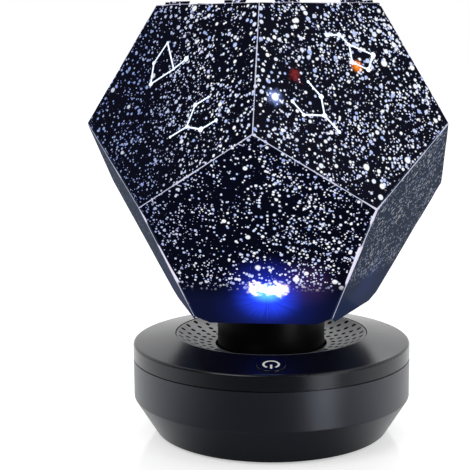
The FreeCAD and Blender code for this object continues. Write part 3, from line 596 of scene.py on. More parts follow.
@dataclass(frozen=True)
class TwelveSides:
    """The film's regular twelve sided body, in millimetres, and its turn about +Z in degrees."""

    edge: float
    centre_z: float
    turn: float

    @property
    def inradius(self) -> float:
        """The distance from the centre to each panel's outer face."""
        return self.edge * GOLDEN**2 / (2 * math.sqrt(3 - GOLDEN))

    @property
    def apothem(self) -> float:
        """The distance from a panel's middle to its edges."""
        return self.edge / (2 * math.tan(math.pi / 5))

    @property
    def centre(self) -> Vector:
        """The body's centre."""
        return Vector((0, 0, self.centre_z))

    def upper_normal(self, index: int) -> Vector:
        """The direction that one of the five upper panels faces.

        Args:
            index: The panel's number from 0, in the order of the nodes' names.

        Returns:
            A unit vector.
        """
        turn = math.radians(self.turn + 36 + 72 * index)
        level = math.sin(FOLD_ANGLE)
        return Vector((level * math.sin(turn), -level * math.cos(turn), math.cos(FOLD_ANGLE)))

    def axes(self) -> list[Vector]:
        """The six directions that the twelve panels face, in opposite pairs."""
        return [UP] + [self.upper_normal(i) for i in range(5)]

    @property
    def bottom_z(self) -> float:
        """The height of the bottom panel's outer face."""
        return self.centre_z - self.inradius

    def lower_point(self, index: int, across: float, rise: float) -> Vector:
        """A point on one of the five lower panels.

        Args:
            index: The panel's number from 0.
            across: How far the point lies to the right of the panel's middle line.
            rise: The point's height above the bottom panel.

        Returns:
            The point.
        """
        turn = math.radians(self.turn + 72 * index)
        away = self.apothem + rise / math.tan(FOLD_ANGLE)
        level = Vector((math.cos(turn), math.sin(turn), 0))
        out = Vector((math.sin(turn), -math.cos(turn), 0))
        return out * away + level * across + UP * (self.bottom_z + rise)

    def panel_frame(self, normal: Vector) -> Matrix:
        """The place of a panel's middle, with its own right, up and outward directions.

        Args:
            normal: The direction that the panel faces.

        Returns:
            A matrix from the panel's plane to the object, in millimetres.
        """
        right = UP.cross(normal).normalized()
        over = normal.cross(right)
        return Matrix.Translation(self.centre + normal * self.inradius) @ Matrix((
            (right.x, over.x, normal.x, 0),
            (right.y, over.y, normal.y, 0),
            (right.z, over.z, normal.z, 0),
            (0, 0, 0, 1),
        ))


@dataclass(frozen=True)
class StarFilm(Finish):
    """Printed polyester film: near-black ink with clear dots that let the lamp's light through.

    The light also comes out of the clear margin beside each seam, except over the tucked tabs,
    and out of every cut edge. The front panel, which the lamp faces, shines more than the other
    lower panels. Lengths are in millimetres, and a tab's ends are shares of its edge.
    """

    body: TwelveSides
    layers: tuple[StarLayer, ...]
    spots: tuple[FilmSpot, ...]
    lamp_point: tuple[float, float, float]
    margin: float = 0.16
    side_margin: float = 4.6
    margin_blur: float = 0.15
    tab_near: float = 0.13
    tab_far: float = 0.33
    seam_light: str = "#efeaff"
    edge_light: str = "#dfe4ff"
    cut_light: float = 0.8
    band_rise: float = 14.5
    band_colour: str = "#0a0f2c"
    # Painted sheen: the colour that the lower side panels glow in, in place of their gloss seen at a slant.
    side_painted_sheen: str = "#1a2433"
    ink_light: str = "#02030b"
    side_light: float = 0.35
    coat: float = 0.06
    spot_crumb: float = 20 / 9
    # How fast the margins' width and the clouds of stars change, in millimetres.
    wander_size: float = 200 / 7
    cloud_size: float = 50 / 3
    # Keeps the layers' cells apart.
    layer_shift: float = 17.0
    ray_fineness: float = 14.0
    # How deep the print goes, and how far behind its face a side panel still counts as one.
    skin: float = 0.04
    side_depth: float = 0.8

    def panel_place(self, tree: NodeTree, point: NodeSocket) -> tuple[NodeSocket, ...]:
        """Sorts how far a point lies along the directions of the panels.

        Args:
            tree: The material's tree.
            point: The point, from the body's centre, in millimetres.

        Returns:
            The three largest distances, largest first, and 1 on a lower panel other than the front one.
        """
        first: Any = 0.0
        second: Any = 0.0
        third: Any = 0.0
        lowest: Any = 0.0
        for number, axis in enumerate(self.body.axes()):
            along = add(tree, "ShaderNodeVectorMath", {0: point, 1: axis}, operation="DOT_PRODUCT").outputs["Value"]
            away = add(tree, "ShaderNodeMath", {0: along}, operation="ABSOLUTE").outputs[0]
            lesser = add(tree, "ShaderNodeMath", {0: first, 1: away}, operation="MINIMUM").outputs[0]
            first = add(tree, "ShaderNodeMath", {0: first, 1: away}, operation="MAXIMUM").outputs[0]
            least = add(tree, "ShaderNodeMath", {0: second, 1: lesser}, operation="MINIMUM").outputs[0]
            second = add(tree, "ShaderNodeMath", {0: second, 1: lesser}, operation="MAXIMUM").outputs[0]
            third = add(tree, "ShaderNodeMath", {0: third, 1: least}, operation="MAXIMUM").outputs[0]
            if number not in (BOTTOM_AXIS, FRONT_AXIS):
                lowest = add(tree, "ShaderNodeMath", {0: lowest, 1: along}, operation="MINIMUM").outputs[0]
        reach = self.side_depth - self.body.inradius
        side = add(tree, "ShaderNodeMath", {0: lowest, 1: reach}, operation="LESS_THAN")
        return first, second, third, side.outputs[0]

    def seam_shine(self, tree: NodeTree, point: NodeSocket, ranks: Sequence[NodeSocket]) -> NodeSocket:
        """Finds the clear margins beside the seams, dim over the tabs and near the bottom.

        Args:
            tree: The material's tree.
            point: The point, from the body's centre, in millimetres.
            ranks: The three largest distances along the panels' directions.

        Returns:
            How brightly a margin shines.
        """
        first, second, third = ranks
        gap = add(tree, "ShaderNodeMath", {0: first, 1: second}, operation="SUBTRACT")
        from_edge = add(tree, "ShaderNodeMath", {
            0: gap.outputs[0],
            1: 1 / math.sin(FOLD_ANGLE),
        }, operation="MULTIPLY").outputs[0]
        short = add(tree, "ShaderNodeMath", {0: self.body.inradius, 1: third}, operation="SUBTRACT")
        corner_rate = math.sin(FOLD_ANGLE) * math.sin(math.radians(72))
        from_corner = add(tree, "ShaderNodeMath", {
            0: short.outputs[0],
            1: 1 / (corner_rate * self.body.edge),
        }, operation="MULTIPLY").outputs[0]
        # A margin is narrower over a tucked tab.
        middle = (self.tab_near + self.tab_far) / 2
        off_tab = add(tree, "ShaderNodeMath", {0: from_corner, 1: middle}, operation="SUBTRACT")
        off_tab = add(tree, "ShaderNodeMath", {0: off_tab.outputs[0]}, operation="ABSOLUTE")
        open_seam = add(tree, "ShaderNodeMapRange", {
            "Value": off_tab.outputs[0],
            "From Min": (self.tab_far - self.tab_near) / 2 - 0.015,
            "From Max": (self.tab_far - self.tab_near) / 2 + 0.015,
            "To Min": 0.3,
            "To Max": 1.0,
        }).outputs[0]
        # Its width also wanders along the seam, as the folded sheets don't lie quite true.
        wander = add(tree, "ShaderNodeTexNoise", {"Vector": point, "Scale": 1 / self.wander_size, "Detail": 1.0})
        level = add(tree, "ShaderNodeMapRange", {
            "Value": wander.outputs[0],
            "From Min": 0.35,
            "From Max": 0.62,
            "To Min": 0.35,
            "To Max": 1.7,
        }).outputs[0]
        width = add(tree, "ShaderNodeMath", {0: open_seam, 1: level}, operation="MULTIPLY").outputs[0]
        height = add(tree, "ShaderNodeSeparateXYZ", {0: point}).outputs[2]
        # The seams below the middle corners stand further open.
        corner = -self.body.inradius * CORNER_LEVEL
        widest = add(tree, "ShaderNodeMapRange", {
            "Value": height,
            "From Min": corner + 2.0,
            "From Max": corner - 4.0,
            "To Min": self.margin,
            "To Max": self.margin * self.side_margin,
        }).outputs[0]
        width = add(tree, "ShaderNodeMath", {0: width, 1: widest}, operation="MULTIPLY").outputs[0]
        inner = add(tree, "ShaderNodeMath", {0: width, 1: self.margin_blur}, operation="ADD").outputs[0]
        margin = add(tree, "ShaderNodeMapRange", {
            "Value": from_edge,
            "From Min": inner,
            "From Max": width,
        }).outputs[0]
        bright = add(tree, "ShaderNodeMapRange", {"Value": open_seam, "To Min": 0.35, "To Max": 1.0}).outputs[0]
        # The unprinted band at the bottom has no margin.
        fold = -self.body.inradius
        lit = add(tree, "ShaderNodeMapRange", {
            "Value": height,
            "From Min": fold + 6.0,
            "From Max": fold + 11.0,
        }).outputs[0]
        shine = add(tree, "ShaderNodeMath", {0: margin, 1: bright}, operation="MULTIPLY").outputs[0]
        return add(tree, "ShaderNodeMath", {0: shine, 1: lit}, operation="MULTIPLY").outputs[0]

    def stars(self, tree: NodeTree, point: NodeSocket, light: NodeSocket) -> NodeSocket:
        """Adds the light of every layer of printed stars.

        Args:
            tree: The material's tree.
            point: The point, from the body's centre, in millimetres.
            light: The light so far.

        Returns:
            The light with the stars in it.
        """
        # Stars grow with height, thin out and turn blue toward the left, and gather in clouds.
        across, _, height = add(tree, "ShaderNodeSeparateXYZ", {0: point}).outputs
        rise = add(tree, "ShaderNodeMapRange", {
            "Value": height,
            "From Min": -0.7 * self.body.inradius,
            "From Max": 0.7 * self.body.inradius,
        }).outputs[0]
        cool = add(tree, "ShaderNodeMapRange", {
            "Value": across,
            "From Min": -0.35 * self.body.inradius,
            "From Max": -0.8 * self.body.inradius,
        }).outputs[0]
        cloud = add(tree, "ShaderNodeTexNoise", {"Vector": point, "Scale": 1 / self.cloud_size, "Detail": 3.0})
        clouds = add(tree, "ShaderNodeSeparateColor", {0: cloud.outputs["Color"]}).outputs
        spread = add(tree, "ShaderNodeMapRange", {
            "Value": across,
            "From Min": -self.body.inradius,
            "From Max": 0.5 * self.body.inradius,
            "To Min": 0.86,
            "To Max": 1.08,
        }).outputs[0]
        # They look larger near the lamp.
        near = add(tree, "ShaderNodeVectorMath", {0: point, 1: self.lamp_point}, operation="DISTANCE")
        lamp_gain = add(tree, "ShaderNodeMapRange", {
            "Value": near.outputs["Value"],
            "From Min": 34.0,
            "From Max": 4.0,
            "To Min": 1.0,
            "To Max": 1.6,
        }).outputs[0]
        spread = add(tree, "ShaderNodeMath", {0: spread, 1: lamp_gain}, operation="MULTIPLY").outputs[0]
        chill = add(tree, "ShaderNodeMapRange", {"Value": cool, "To Min": 1.0, "To Max": 0.72}).outputs[0]
        for number, layer in enumerate(self.layers):
            shift = self.layer_shift * (number + 1)
            moved = add(tree, "ShaderNodeVectorMath", {0: point, 1: (shift, 0.7 * shift, 1.3 * shift)}).outputs[0]
            cells = add(tree, "ShaderNodeTexVoronoi", {"Vector": moved, "Scale": 1 / layer.cell})
            chance = add(tree, "ShaderNodeSeparateColor", {0: cells.outputs["Color"]}).outputs
            size = add(tree, "ShaderNodeMapRange", {
                "Value": chance[0],
                "To Min": 0.55 * layer.radius / layer.cell,
                "To Max": layer.radius / layer.cell,
            }).outputs[0]
            crowd = add(tree, "ShaderNodeMapRange", {
                "Value": clouds[number % 3],
                "From Min": 0.4,
                "From Max": 0.56,
                "To Min": 1.0 - layer.gather,
                "To Max": 1.1,
            }).outputs[0]
            higher = add(tree, "ShaderNodeMapRange", {
                "Value": rise,
                "To Min": layer.low_share,
                "To Max": 1.0,
            }).outputs[0]
            size = add(tree, "ShaderNodeMath", {0: size, 1: crowd}, operation="MULTIPLY").outputs[0]
            size = add(tree, "ShaderNodeMath", {0: size, 1: higher}, operation="MULTIPLY").outputs[0]
            size = add(tree, "ShaderNodeMath", {0: size, 1: spread}, operation="MULTIPLY").outputs[0]
            core = add(tree, "ShaderNodeMath", {0: size, 1: 0.74}, operation="MULTIPLY").outputs[0]
            dot = add(tree, "ShaderNodeMapRange", {
                "Value": cells.outputs["Distance"],
                "From Min": size,
                "From Max": core,
                "To Max": layer.brightness,
            }, interpolation_type="SMOOTHSTEP").outputs[0]
            dot = add(tree, "ShaderNodeMath", {0: dot, 1: chill}, operation="MULTIPLY").outputs[0]
            blue = add(tree, "ShaderNodeMath", {0: chance[1], 1: cool}, operation="MAXIMUM").outputs[0]
            tint = add(tree, "ShaderNodeMix", {
                0: blue,
                6: linear("#ffffff"),
                7: linear(layer.tint),
            }, data_type="RGBA").outputs[2]
            star = add(tree, "ShaderNodeVectorMath", {0: tint, "Scale": dot}, operation="SCALE").outputs[0]
            light = add(tree, "ShaderNodeVectorMath", {0: light, 1: star}, operation="MAXIMUM").outputs[0]
        return light

    def glow(self, tree: NodeTree, place: NodeSocket, light: NodeSocket) -> NodeSocket:
        """Adds the soft spots where the lamp shines on the film.

        Args:
            tree: The material's tree.
            place: The object coordinates in millimetres.
            light: The light so far.

        Returns:
            The light with the spots in it.
        """
        crumble = add(tree, "ShaderNodeTexNoise", {"Vector": place, "Scale": 1 / self.spot_crumb, "Detail": 3.0})
        crumble = add(tree, "ShaderNodeVectorMath", {
            0: crumble.outputs["Color"],
            1: (0.5, 0.5, 0.5),
        }, operation="SUBTRACT").outputs[0]
        for spot in self.spots:
            moved = add(tree, "ShaderNodeVectorMath", {0: place, 1: spot.middle}, operation="SUBTRACT").outputs[0]
            if spot.ragged:
                torn = add(tree, "ShaderNodeVectorMath", {0: crumble, "Scale": spot.ragged}, operation="SCALE")
                moved = add(tree, "ShaderNodeVectorMath", {0: moved, 1: torn.outputs[0]}).outputs[0]
            scaled = add(tree, "ShaderNodeVectorMath", {0: moved, 1: spot.reach}, operation="DIVIDE").outputs[0]
            away = add(tree, "ShaderNodeVectorMath", {0: scaled}, operation="LENGTH")
            fade: Any = add(tree, "ShaderNodeMapRange", {
                "Value": away.outputs["Value"],
                "From Min": 1.0,
                "From Max": 0.0,
                "To Max": spot.strength,
            }, interpolation_type="SMOOTHERSTEP").outputs[0]
            if spot.rays:
                heading = add(tree, "ShaderNodeVectorMath", {0: moved}, operation="NORMALIZE").outputs[0]
                streak = add(tree, "ShaderNodeTexNoise", {
                    "Vector": heading,
                    "Scale": self.ray_fineness,
                    "Detail": 1.0,
                })
                streak = add(tree, "ShaderNodeMapRange", {
                    "Value": streak.outputs[0],
                    "From Min": 0.3,
                    "From Max": 0.7,
                    "To Min": 1.0 - spot.rays,
                    "To Max": 1.0 + spot.rays,
                }).outputs[0]
                fade = add(tree, "ShaderNodeMath", {0: fade, 1: streak}, operation="MULTIPLY").outputs[0]
            tint = add(tree, "ShaderNodeVectorMath", {
                0: linear(spot.colour)[:3],
                "Scale": fade,
            }, operation="SCALE").outputs[0]
            light = add(tree, "ShaderNodeVectorMath", {0: light, 1: tint}).outputs[0]
        return light

    def detail(self, tree: NodeTree, shader: Node) -> None:
        """Builds the print, its light and the film's gloss.

        Args:
            tree: The material's tree.
            shader: Its principled shader.
        """
        place = self.millimetres(tree)
        point = add(tree, "ShaderNodeVectorMath", {0: place, 1: self.body.centre}, operation="SUBTRACT").outputs[0]
        first, second, third, side = self.panel_place(tree, point)
        # What lies below every panel's outer face is a cut edge or the inside.
        depth = add(tree, "ShaderNodeMath", {0: self.body.inradius, 1: first}, operation="SUBTRACT").outputs[0]
        below = add(tree, "ShaderNodeMath", {0: depth, 1: self.skin}, operation="GREATER_THAN").outputs[0]
        shine = self.seam_shine(tree, point, (first, second, third))
        height = add(tree, "ShaderNodeSeparateXYZ", {0: point}).outputs[2]
        # The stars fade out above the band at the bottom, and are dim on the side panels.
        top = self.band_rise - self.body.inradius
        starry = add(tree, "ShaderNodeMapRange", {
            "Value": height,
            "From Min": top - 1.5,
            "From Max": top + 4.0,
        }).outputs[0]
        dim = add(tree, "ShaderNodeMapRange", {"Value": side, "To Min": 1.0, "To Max": self.side_light}).outputs[0]
        starry = add(tree, "ShaderNodeMath", {0: starry, 1: dim}, operation="MULTIPLY").outputs[0]
        band = add(tree, "ShaderNodeMapRange", {
            "Value": height,
            "From Min": top + 4.0,
            "From Max": top - 6.0,
        }).outputs[0]
        # The ink lets a little light through everywhere, and the side panels get a painted sheen in place of their
        # gloss seen at a slant.
        ink_light_and_painted_sheen = add(tree, "ShaderNodeVectorMath", {
            0: linear(self.side_painted_sheen)[:3],
            "Scale": side,
        }, operation="SCALE").outputs[0]
        ink_light_and_painted_sheen = add(tree, "ShaderNodeVectorMath", {
            0: ink_light_and_painted_sheen,
            1: linear(self.ink_light)[:3],
        }, operation="MAXIMUM").outputs[0]
        light = self.stars(tree, point, ink_light_and_painted_sheen)
        light = add(tree, "ShaderNodeVectorMath", {0: light, "Scale": starry}, operation="SCALE").outputs[0]
        light = add(tree, "ShaderNodeVectorMath", {0: light, 1: ink_light_and_painted_sheen}).outputs[0]
        # The band at the bottom glows navy.
        navy = add(tree, "ShaderNodeVectorMath", {
            0: linear(self.band_colour)[:3],
            "Scale": band,
        }, operation="SCALE").outputs[0]
        light = add(tree, "ShaderNodeVectorMath", {0: light, 1: navy}).outputs[0]
        light = self.glow(tree, place, light)
        # The clear margins and the cut edges shine in their own light.
        seam = add(tree, "ShaderNodeVectorMath", {
            0: linear(self.seam_light)[:3],
            "Scale": shine,
        }, operation="SCALE").outputs[0]
        light = add(tree, "ShaderNodeVectorMath", {0: light, 1: seam}, operation="MAXIMUM").outputs[0]
        face = add(tree, "ShaderNodeMix", {
            0: below,
            6: light,
            7: linear(self.edge_light, self.cut_light),
        }, data_type="RGBA").outputs[2]
        tree.links.new(face, shader.inputs["Emission Color"])
        shader.inputs["Emission Strength"].default_value = 1.0
        shader.inputs["Specular IOR Level"].default_value = 0.0
        shader.inputs["Coat Weight"].default_value = self.coat
        shader.inputs["Coat Roughness"].default_value = self.roughness


@dataclass
class Repeater:
    """Places copies of one template at marked points, each turned to its own direction."""

    name: str
    places: Sequence[Place]
    material: Material

    def marks(self) -> Object:
        """Makes a mesh of loose points that carry the copies' directions.

        Returns:
            The points as an object, with each direction in the attribute "facing".
        """
        mesh = bpy.data.meshes.new(self.name + "_marks")
        mesh.from_pydata([point for point, _ in self.places], [], [])
        facing = mesh.attributes.new("facing", "FLOAT_VECTOR", "POINT")
        for entry, (_, direction) in zip(facing.data, self.places):
            entry.vector = direction
        return mesh_object(mesh.name, mesh)

    def build(self, template: Object, size_change: float = 0.0, seed: int = 1) -> Object:
        """Makes the repeated piece as one plain mesh.

        Args:
            template: The piece to repeat, along +Z at the origin. It is removed.
            size_change: How far the copies differ in size, as a share.
            seed: The seed of that difference.

        Returns:
            The finished piece.
        """
        tree = bpy.data.node_groups.new(self.name + "_copies", "GeometryNodeTree")
        face = tree.interface
        face.new_socket("Points", in_out="INPUT", socket_type="NodeSocketGeometry")
        asked = {
            "Template": (face.new_socket("Template", socket_type="NodeSocketObject"), template),
            "Size Change": (face.new_socket("Size Change", socket_type="NodeSocketFloat"), size_change),
            "Seed": (face.new_socket("Seed", socket_type="NodeSocketInt"), seed),
            "Finish": (face.new_socket("Finish", socket_type="NodeSocketMaterial"), self.material),
        }
        face.new_socket("Copies", in_out="OUTPUT", socket_type="NodeSocketGeometry")
        given = add(tree, "NodeGroupInput").outputs
        source = add(tree, "GeometryNodeObjectInfo", {"Object": given["Template"]})
        facing = add(tree, "GeometryNodeInputNamedAttribute", {"Name": "facing"}, data_type="FLOAT_VECTOR")
        turn = add(tree, "FunctionNodeAlignRotationToVector", {"Vector": facing.outputs[0]}, axis="Z")
        low = add(tree, "ShaderNodeMath", {0: 1.0, 1: given["Size Change"]}, operation="SUBTRACT")
        high = add(tree, "ShaderNodeMath", {0: 1.0, 1: given["Size Change"]}, operation="ADD")
        scale = add(tree, "FunctionNodeRandomValue", {
            "Min": low.outputs[0],
            "Max": high.outputs[0],
            "Seed": given["Seed"],
        }, data_type="FLOAT")
        placed = add(tree, "GeometryNodeInstanceOnPoints", {
            "Points": given["Points"],
            "Instance": source.outputs["Geometry"],
            "Rotation": turn.outputs[0],
            "Scale": scale.outputs["Value"],
        })
        solid = add(tree, "GeometryNodeRealizeInstances", {0: placed.outputs[0]})
        dressed = add(tree, "GeometryNodeSetMaterial", {0: solid.outputs[0], "Material": given["Finish"]})
        add(tree, "NodeGroupOutput", {"Copies": dressed.outputs[0]})
        marks = self.marks()
        modifier = marks.modifiers.new("copies", "NODES")
        modifier.node_group = tree
        for socket, value in asked.values():
            modifier[socket.identifier] = value
        made = baked(marks, self.name)
        bpy.data.objects.remove(template)
        return made


@dataclass
class ScrewKind:
    """One kind of pan-head screw: its node, body and sizes in millimetres.

    The other heights and radii are shares of the head's and the shank's.
    """

    node: str
    body: str
    shank_radius: float
    head_radius: float
    head_height: float
    facing: Vector
    thread_pitch: float = 0.8
    recess_share: float = 0.62

    def axis_lines(self) -> list[tuple[Vector, float]]:
        """Finds each screw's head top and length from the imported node.

        Returns:
            The middle of each head's top, and the screw's length, in metres.
        """
        loose = bmesh.new()
        loose.from_mesh(frame["nodes"][self.node].data)
        bmesh.ops.remove_doubles(loose, verts=loose.verts, dist=1e-6)
        left = set(loose.verts)
        found = []
        while left:
            island = [left.pop()]
            for vert in island:
                for edge in vert.link_edges:
                    other = edge.other_vert(vert)
                    if other in left:
                        left.remove(other)
                        island.append(other)
            heights = [v.co.dot(self.facing) for v in island]
            middle = sum((v.co for v in island), Vector()) / len(island)
            top = middle + self.facing * (max(heights) - middle.dot(self.facing))
            found.append((top, max(heights) - min(heights)))
        loose.free()
        return found

    def template(self, length: float) -> Object:
        """Makes one screw along +Z, with its head's top at the origin.

        Args:
            length: The whole length in millimetres.

        Returns:
            The screw, with a cross recess and thread ridges.
        """
        core = 0.8 * self.shank_radius
        outline = [(0.0, -length), (0.5 * core, -length + 0.1)]
        turns = max(2, int((length - self.head_height - 1.0) / self.thread_pitch))
        start = -length + 0.5
        for turn in range(turns):
            base = start + turn * self.thread_pitch
            outline += [(core, base), (self.shank_radius, base + 0.5 * self.thread_pitch)]
        outline += [
            (core, -self.head_height - 0.1),
            (self.shank_radius, -self.head_height),
            (0.96 * self.head_radius, -self.head_height),
            (self.head_radius, -0.85 * self.head_height),
            (self.head_radius, -0.5 * self.head_height),
            (0.9 * self.head_radius, -0.2 * self.head_height),
            (0.68 * self.head_radius, -0.04 * self.head_height),
            (0.45 * self.head_radius, 0.0),
            (0.0, 0.0),
        ]
        screw = mesh_object(self.node + "_one", turned_mesh(self.node + "_one", outline, 24))
        recess = mesh_object("recess", self.cross_mesh())
        cut = screw.modifiers.new("recess", "BOOLEAN")
        cut.object = recess
        made = baked(screw, self.node + "_template")
        bpy.data.objects.remove(recess)
        return made

    def cross_mesh(self) -> Mesh:
        """Makes the cross-shaped prism that cuts the recess.

        Returns:
            Its mesh.
        """
        reach = self.recess_share * self.head_radius * MM
        half = 0.28 * reach
        depth = 0.6 * self.head_height * MM
        quarter = [Vector((reach, -half, -depth)), Vector((reach, half, -depth)), Vector((half, half, -depth))]
        made = bmesh.new()
        pull(made, [
            Matrix.Rotation(turn * math.pi / 2, 3, "Z") @ corner
            for turn in range(4) for corner in quarter
        ], UP * 2 * depth)
        return mesh_from(made, "recess")

    def build(self, material: Material) -> Object:
        """Makes all the screws of this kind in the place of their node.

        Args:
            material: What they wear.

        Returns:
            The piece that stands for the node.
        """
        lines = self.axis_lines()
        places = [(top, self.facing) for top, _ in lines]
        template = self.template(lines[0][1] / MM)
        made = Repeater(self.node + "_detailed", places, material).build(template)
        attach(made, self.body)
        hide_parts(self.node)
        return made


# Dull silver with an even sheen.
STEEL = Metal("zinc_plated_steel", "#b4b6b8", 0.32)
# Bright, with fine rings that stretch its highlights.
SPRING_STEEL = Metal("ground_steel_shaft", "#c4c6c8", 0.2, Brushing.ROUND)
# Pale grey, with the softer rings of a turning tool.
ALUMINIUM = Metal("turned_aluminium", "#c6c8ca", 0.35, Brushing.ROUND)
# Grey, streaked along its length by the drawing die.
MOTOR_CAN = Metal("drawn_steel_can", "#a6a9ac", 0.3, Brushing.ALONG_X)
# Darker and duller than the other steel.
BASKET_STEEL = Metal("pressed_steel_basket", "#7c7f83", 0.45)
# Warm yellow and bright.
GOLD = Metal("gold_plated_contact", "#d9b25a", 0.25)
# Charcoal, dull and gritty.
MAGNET = MouldedPlastic("sintered_ferrite_magnet", "#2b2b2d", 0.6, 0.25, 0.02)
# Brown and dull, like fired clay.
CERAMIC = MouldedPlastic("brown_ceramic_chip", "#4a3526", 0.5, 0.2, 0.002)
# Black that goes grey where it turns away, with broad soft highlights.
HOUSING = MouldedPlastic("satin_black_abs_housing", "#0d0e12", 0.34, specular=0.75, tint="#dfe5f6")
# Deeper black than the housing, with sharper highlights.
COVER = MouldedPlastic("gloss_black_abs_cover", "#08080a", 0.24, specular=0.5, tint="#e6eaf6")
# Mid grey, evenly lit, with painted shade in its holes.
GRILLE = PerforatedPlastic("satin_grey_abs_grille", "#5c5c60", 0.34, specular=0.6)
# Almost no light comes back from it.
HUB = MouldedPlastic("dead_black_abs_hub", "#030304", 0.42, 0.6, 0.003, specular=0.1)
# Smooth black with small clear highlights.
BUTTON = MouldedPlastic("polished_black_abs_button", "#060607", 0.2, 0.8, 0.002, specular=0.3)
# Milky white and slightly waxy.
ACETAL = MouldedPlastic("white_acetal_gear", "#e6e4dc", 0.38)
# Flat dark grey.
SWITCH_BODY = MouldedPlastic("black_nylon_switch", "#1a1a1c", 0.5)
# Flat near-black.
CLAMP = MouldedPlastic("black_nylon_clamp", "#151517", 0.45)
# Black without gloss.
RUBBER = Rubber("black_rubber_foot", "#151516", 0.78)
# Glossy green with paler lines and tin dots.
BOARD = CircuitBoard("green_circuit_board", "#0d4a2b", 0.35)
# A cold white line of light.
FIGURE_INK = GlowingResin("clear_window_print", "#c8d0e0", 0.4, "#dcebff", 0.85)
# Cream, with a painted glow that keeps it a little brighter than the light on it.
SYMBOL = GlowingResin("pale_inlay", "#8a897f", 0.45, "#d8d6c4", 0.5)
# A smooth dome full of cold light.
LENS = GlowingResin("lit_acrylic_lens", "#dfe4ee", 0.1, "#cfd9ff", 2.5)
# Yellow resin under a glaring white.
CHIP = GlowingResin("phosphor_filled_resin", "#f0dc7a", 0.4, "#e6edff", 6.0)
# Soft black with a fibrous face.
PAPER = PressedPaper("black_paper_cone", "#1c1b1a", 0.85)
# Taut glossy blue with bare metal ends.
SLEEVE = CellSleeve("blue_cell_sleeve", "#1d5f9a", 0.35)


def dress(node: str, finish: Finish) -> None:
    """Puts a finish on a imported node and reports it.

    Args:
        node: The node's name.
        finish: What it wears.
    """
    paint(frame["nodes"][node], finish.material())
    LOG.info("%s wears %s", node, finish.name)


@dataclass
class SubAssembly:
    """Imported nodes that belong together, and the finish of each."""

    finishes: dict[str, Finish]

    def build(self) -> None:
        """Dresses the nodes."""
        for node, finish in self.finishes.items():
            dress(node, finish)


@dataclass
class BaseUnit(SubAssembly):
    """The round base: its two covers, the perforated bowl, the speakers, the feet and what is inside."""

    finishes: dict[str, Finish] = field(default_factory=lambda: {
        "lower_housing": HOUSING,
        "upper_cover": COVER,
        "speaker_grille": GRILLE,
        "rubber_feet": RUBBER,
        "lamp_post": ALUMINIUM,
        "thrust_washer": ACETAL,
        "lamp_holder": ALUMINIUM,
        "lamp_board": BOARD,
        "lamp_leds": CHIP,
        "lamp_lens": LENS,
        "gear_motor": MOTOR_CAN,
        "motor_bracket": STEEL,
        "main_board": BOARD,
        "charging_socket": STEEL,
        "battery_cell": SLEEVE,
        "battery_cradle": CLAMP,
        "button_switch": SWITCH_BODY,
        "button_board": BOARD,
        "speaker_basket_left": BASKET_STEEL,
        "speaker_basket_right": BASKET_STEEL,
        "speaker_magnet_left": MAGNET,
        "speaker_magnet_right": MAGNET,
        "speaker_cone_left": PAPER,
        "speaker_cone_right": PAPER,
    })


@dataclass
class DriveTrain(SubAssembly):
    """What turns the film: the hub, its bush, the gear pair and the clamp."""

    finishes: dict[str, Finish] = field(default_factory=lambda: {
        "turntable_hub": HUB,
        "turntable_bush": ACETAL,
        "turntable_gear": ACETAL,
        "film_clamp_ring": CLAMP,
        "motor_shaft": SPRING_STEEL,
        "drive_pinion": ACETAL,
    })


@dataclass
class PowerButton(SubAssembly):
    """The round button in the roof, its symbol and the plunger that it presses."""

    finishes: dict[str, Finish] = field(default_factory=lambda: {
        "power_button_cap": BUTTON,
        "power_symbol": SYMBOL,
        "switch_plunger": ACETAL,
    })


@dataclass
class SocketContacts:
    """The gold contacts on both sides of the charging socket's tongue, in millimetres."""

    body: str = "base"
    per_side: int = 6
    pitch: float = 0.95
    size: Vector = field(default_factory=lambda: Vector((0.45, 3.4, 0.08)))
    tongue_half: float = 0.35
    inset: float = 1.2

    def build(self) -> None:
        """Lays the contacts on the tongue."""
        low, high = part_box("charging_socket")
        middle = (low + high) / 2
        along = high.y - (self.inset + self.size.y / 2) * MM
        places = []
        for side in (-1, 1):
            height = middle.z + side * self.tongue_half * MM
            for number in range(self.per_side):
                across = middle.x + (number - (self.per_side - 1) / 2) * self.pitch * MM
                places.append((Vector((across, along, height)), side * UP))
        strip = mesh_object("contact", block_mesh("contact", [(Vector(), self.size)]))
        made = Repeater("socket_contacts", places, GOLD.material()).build(strip)
        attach(made, self.body)


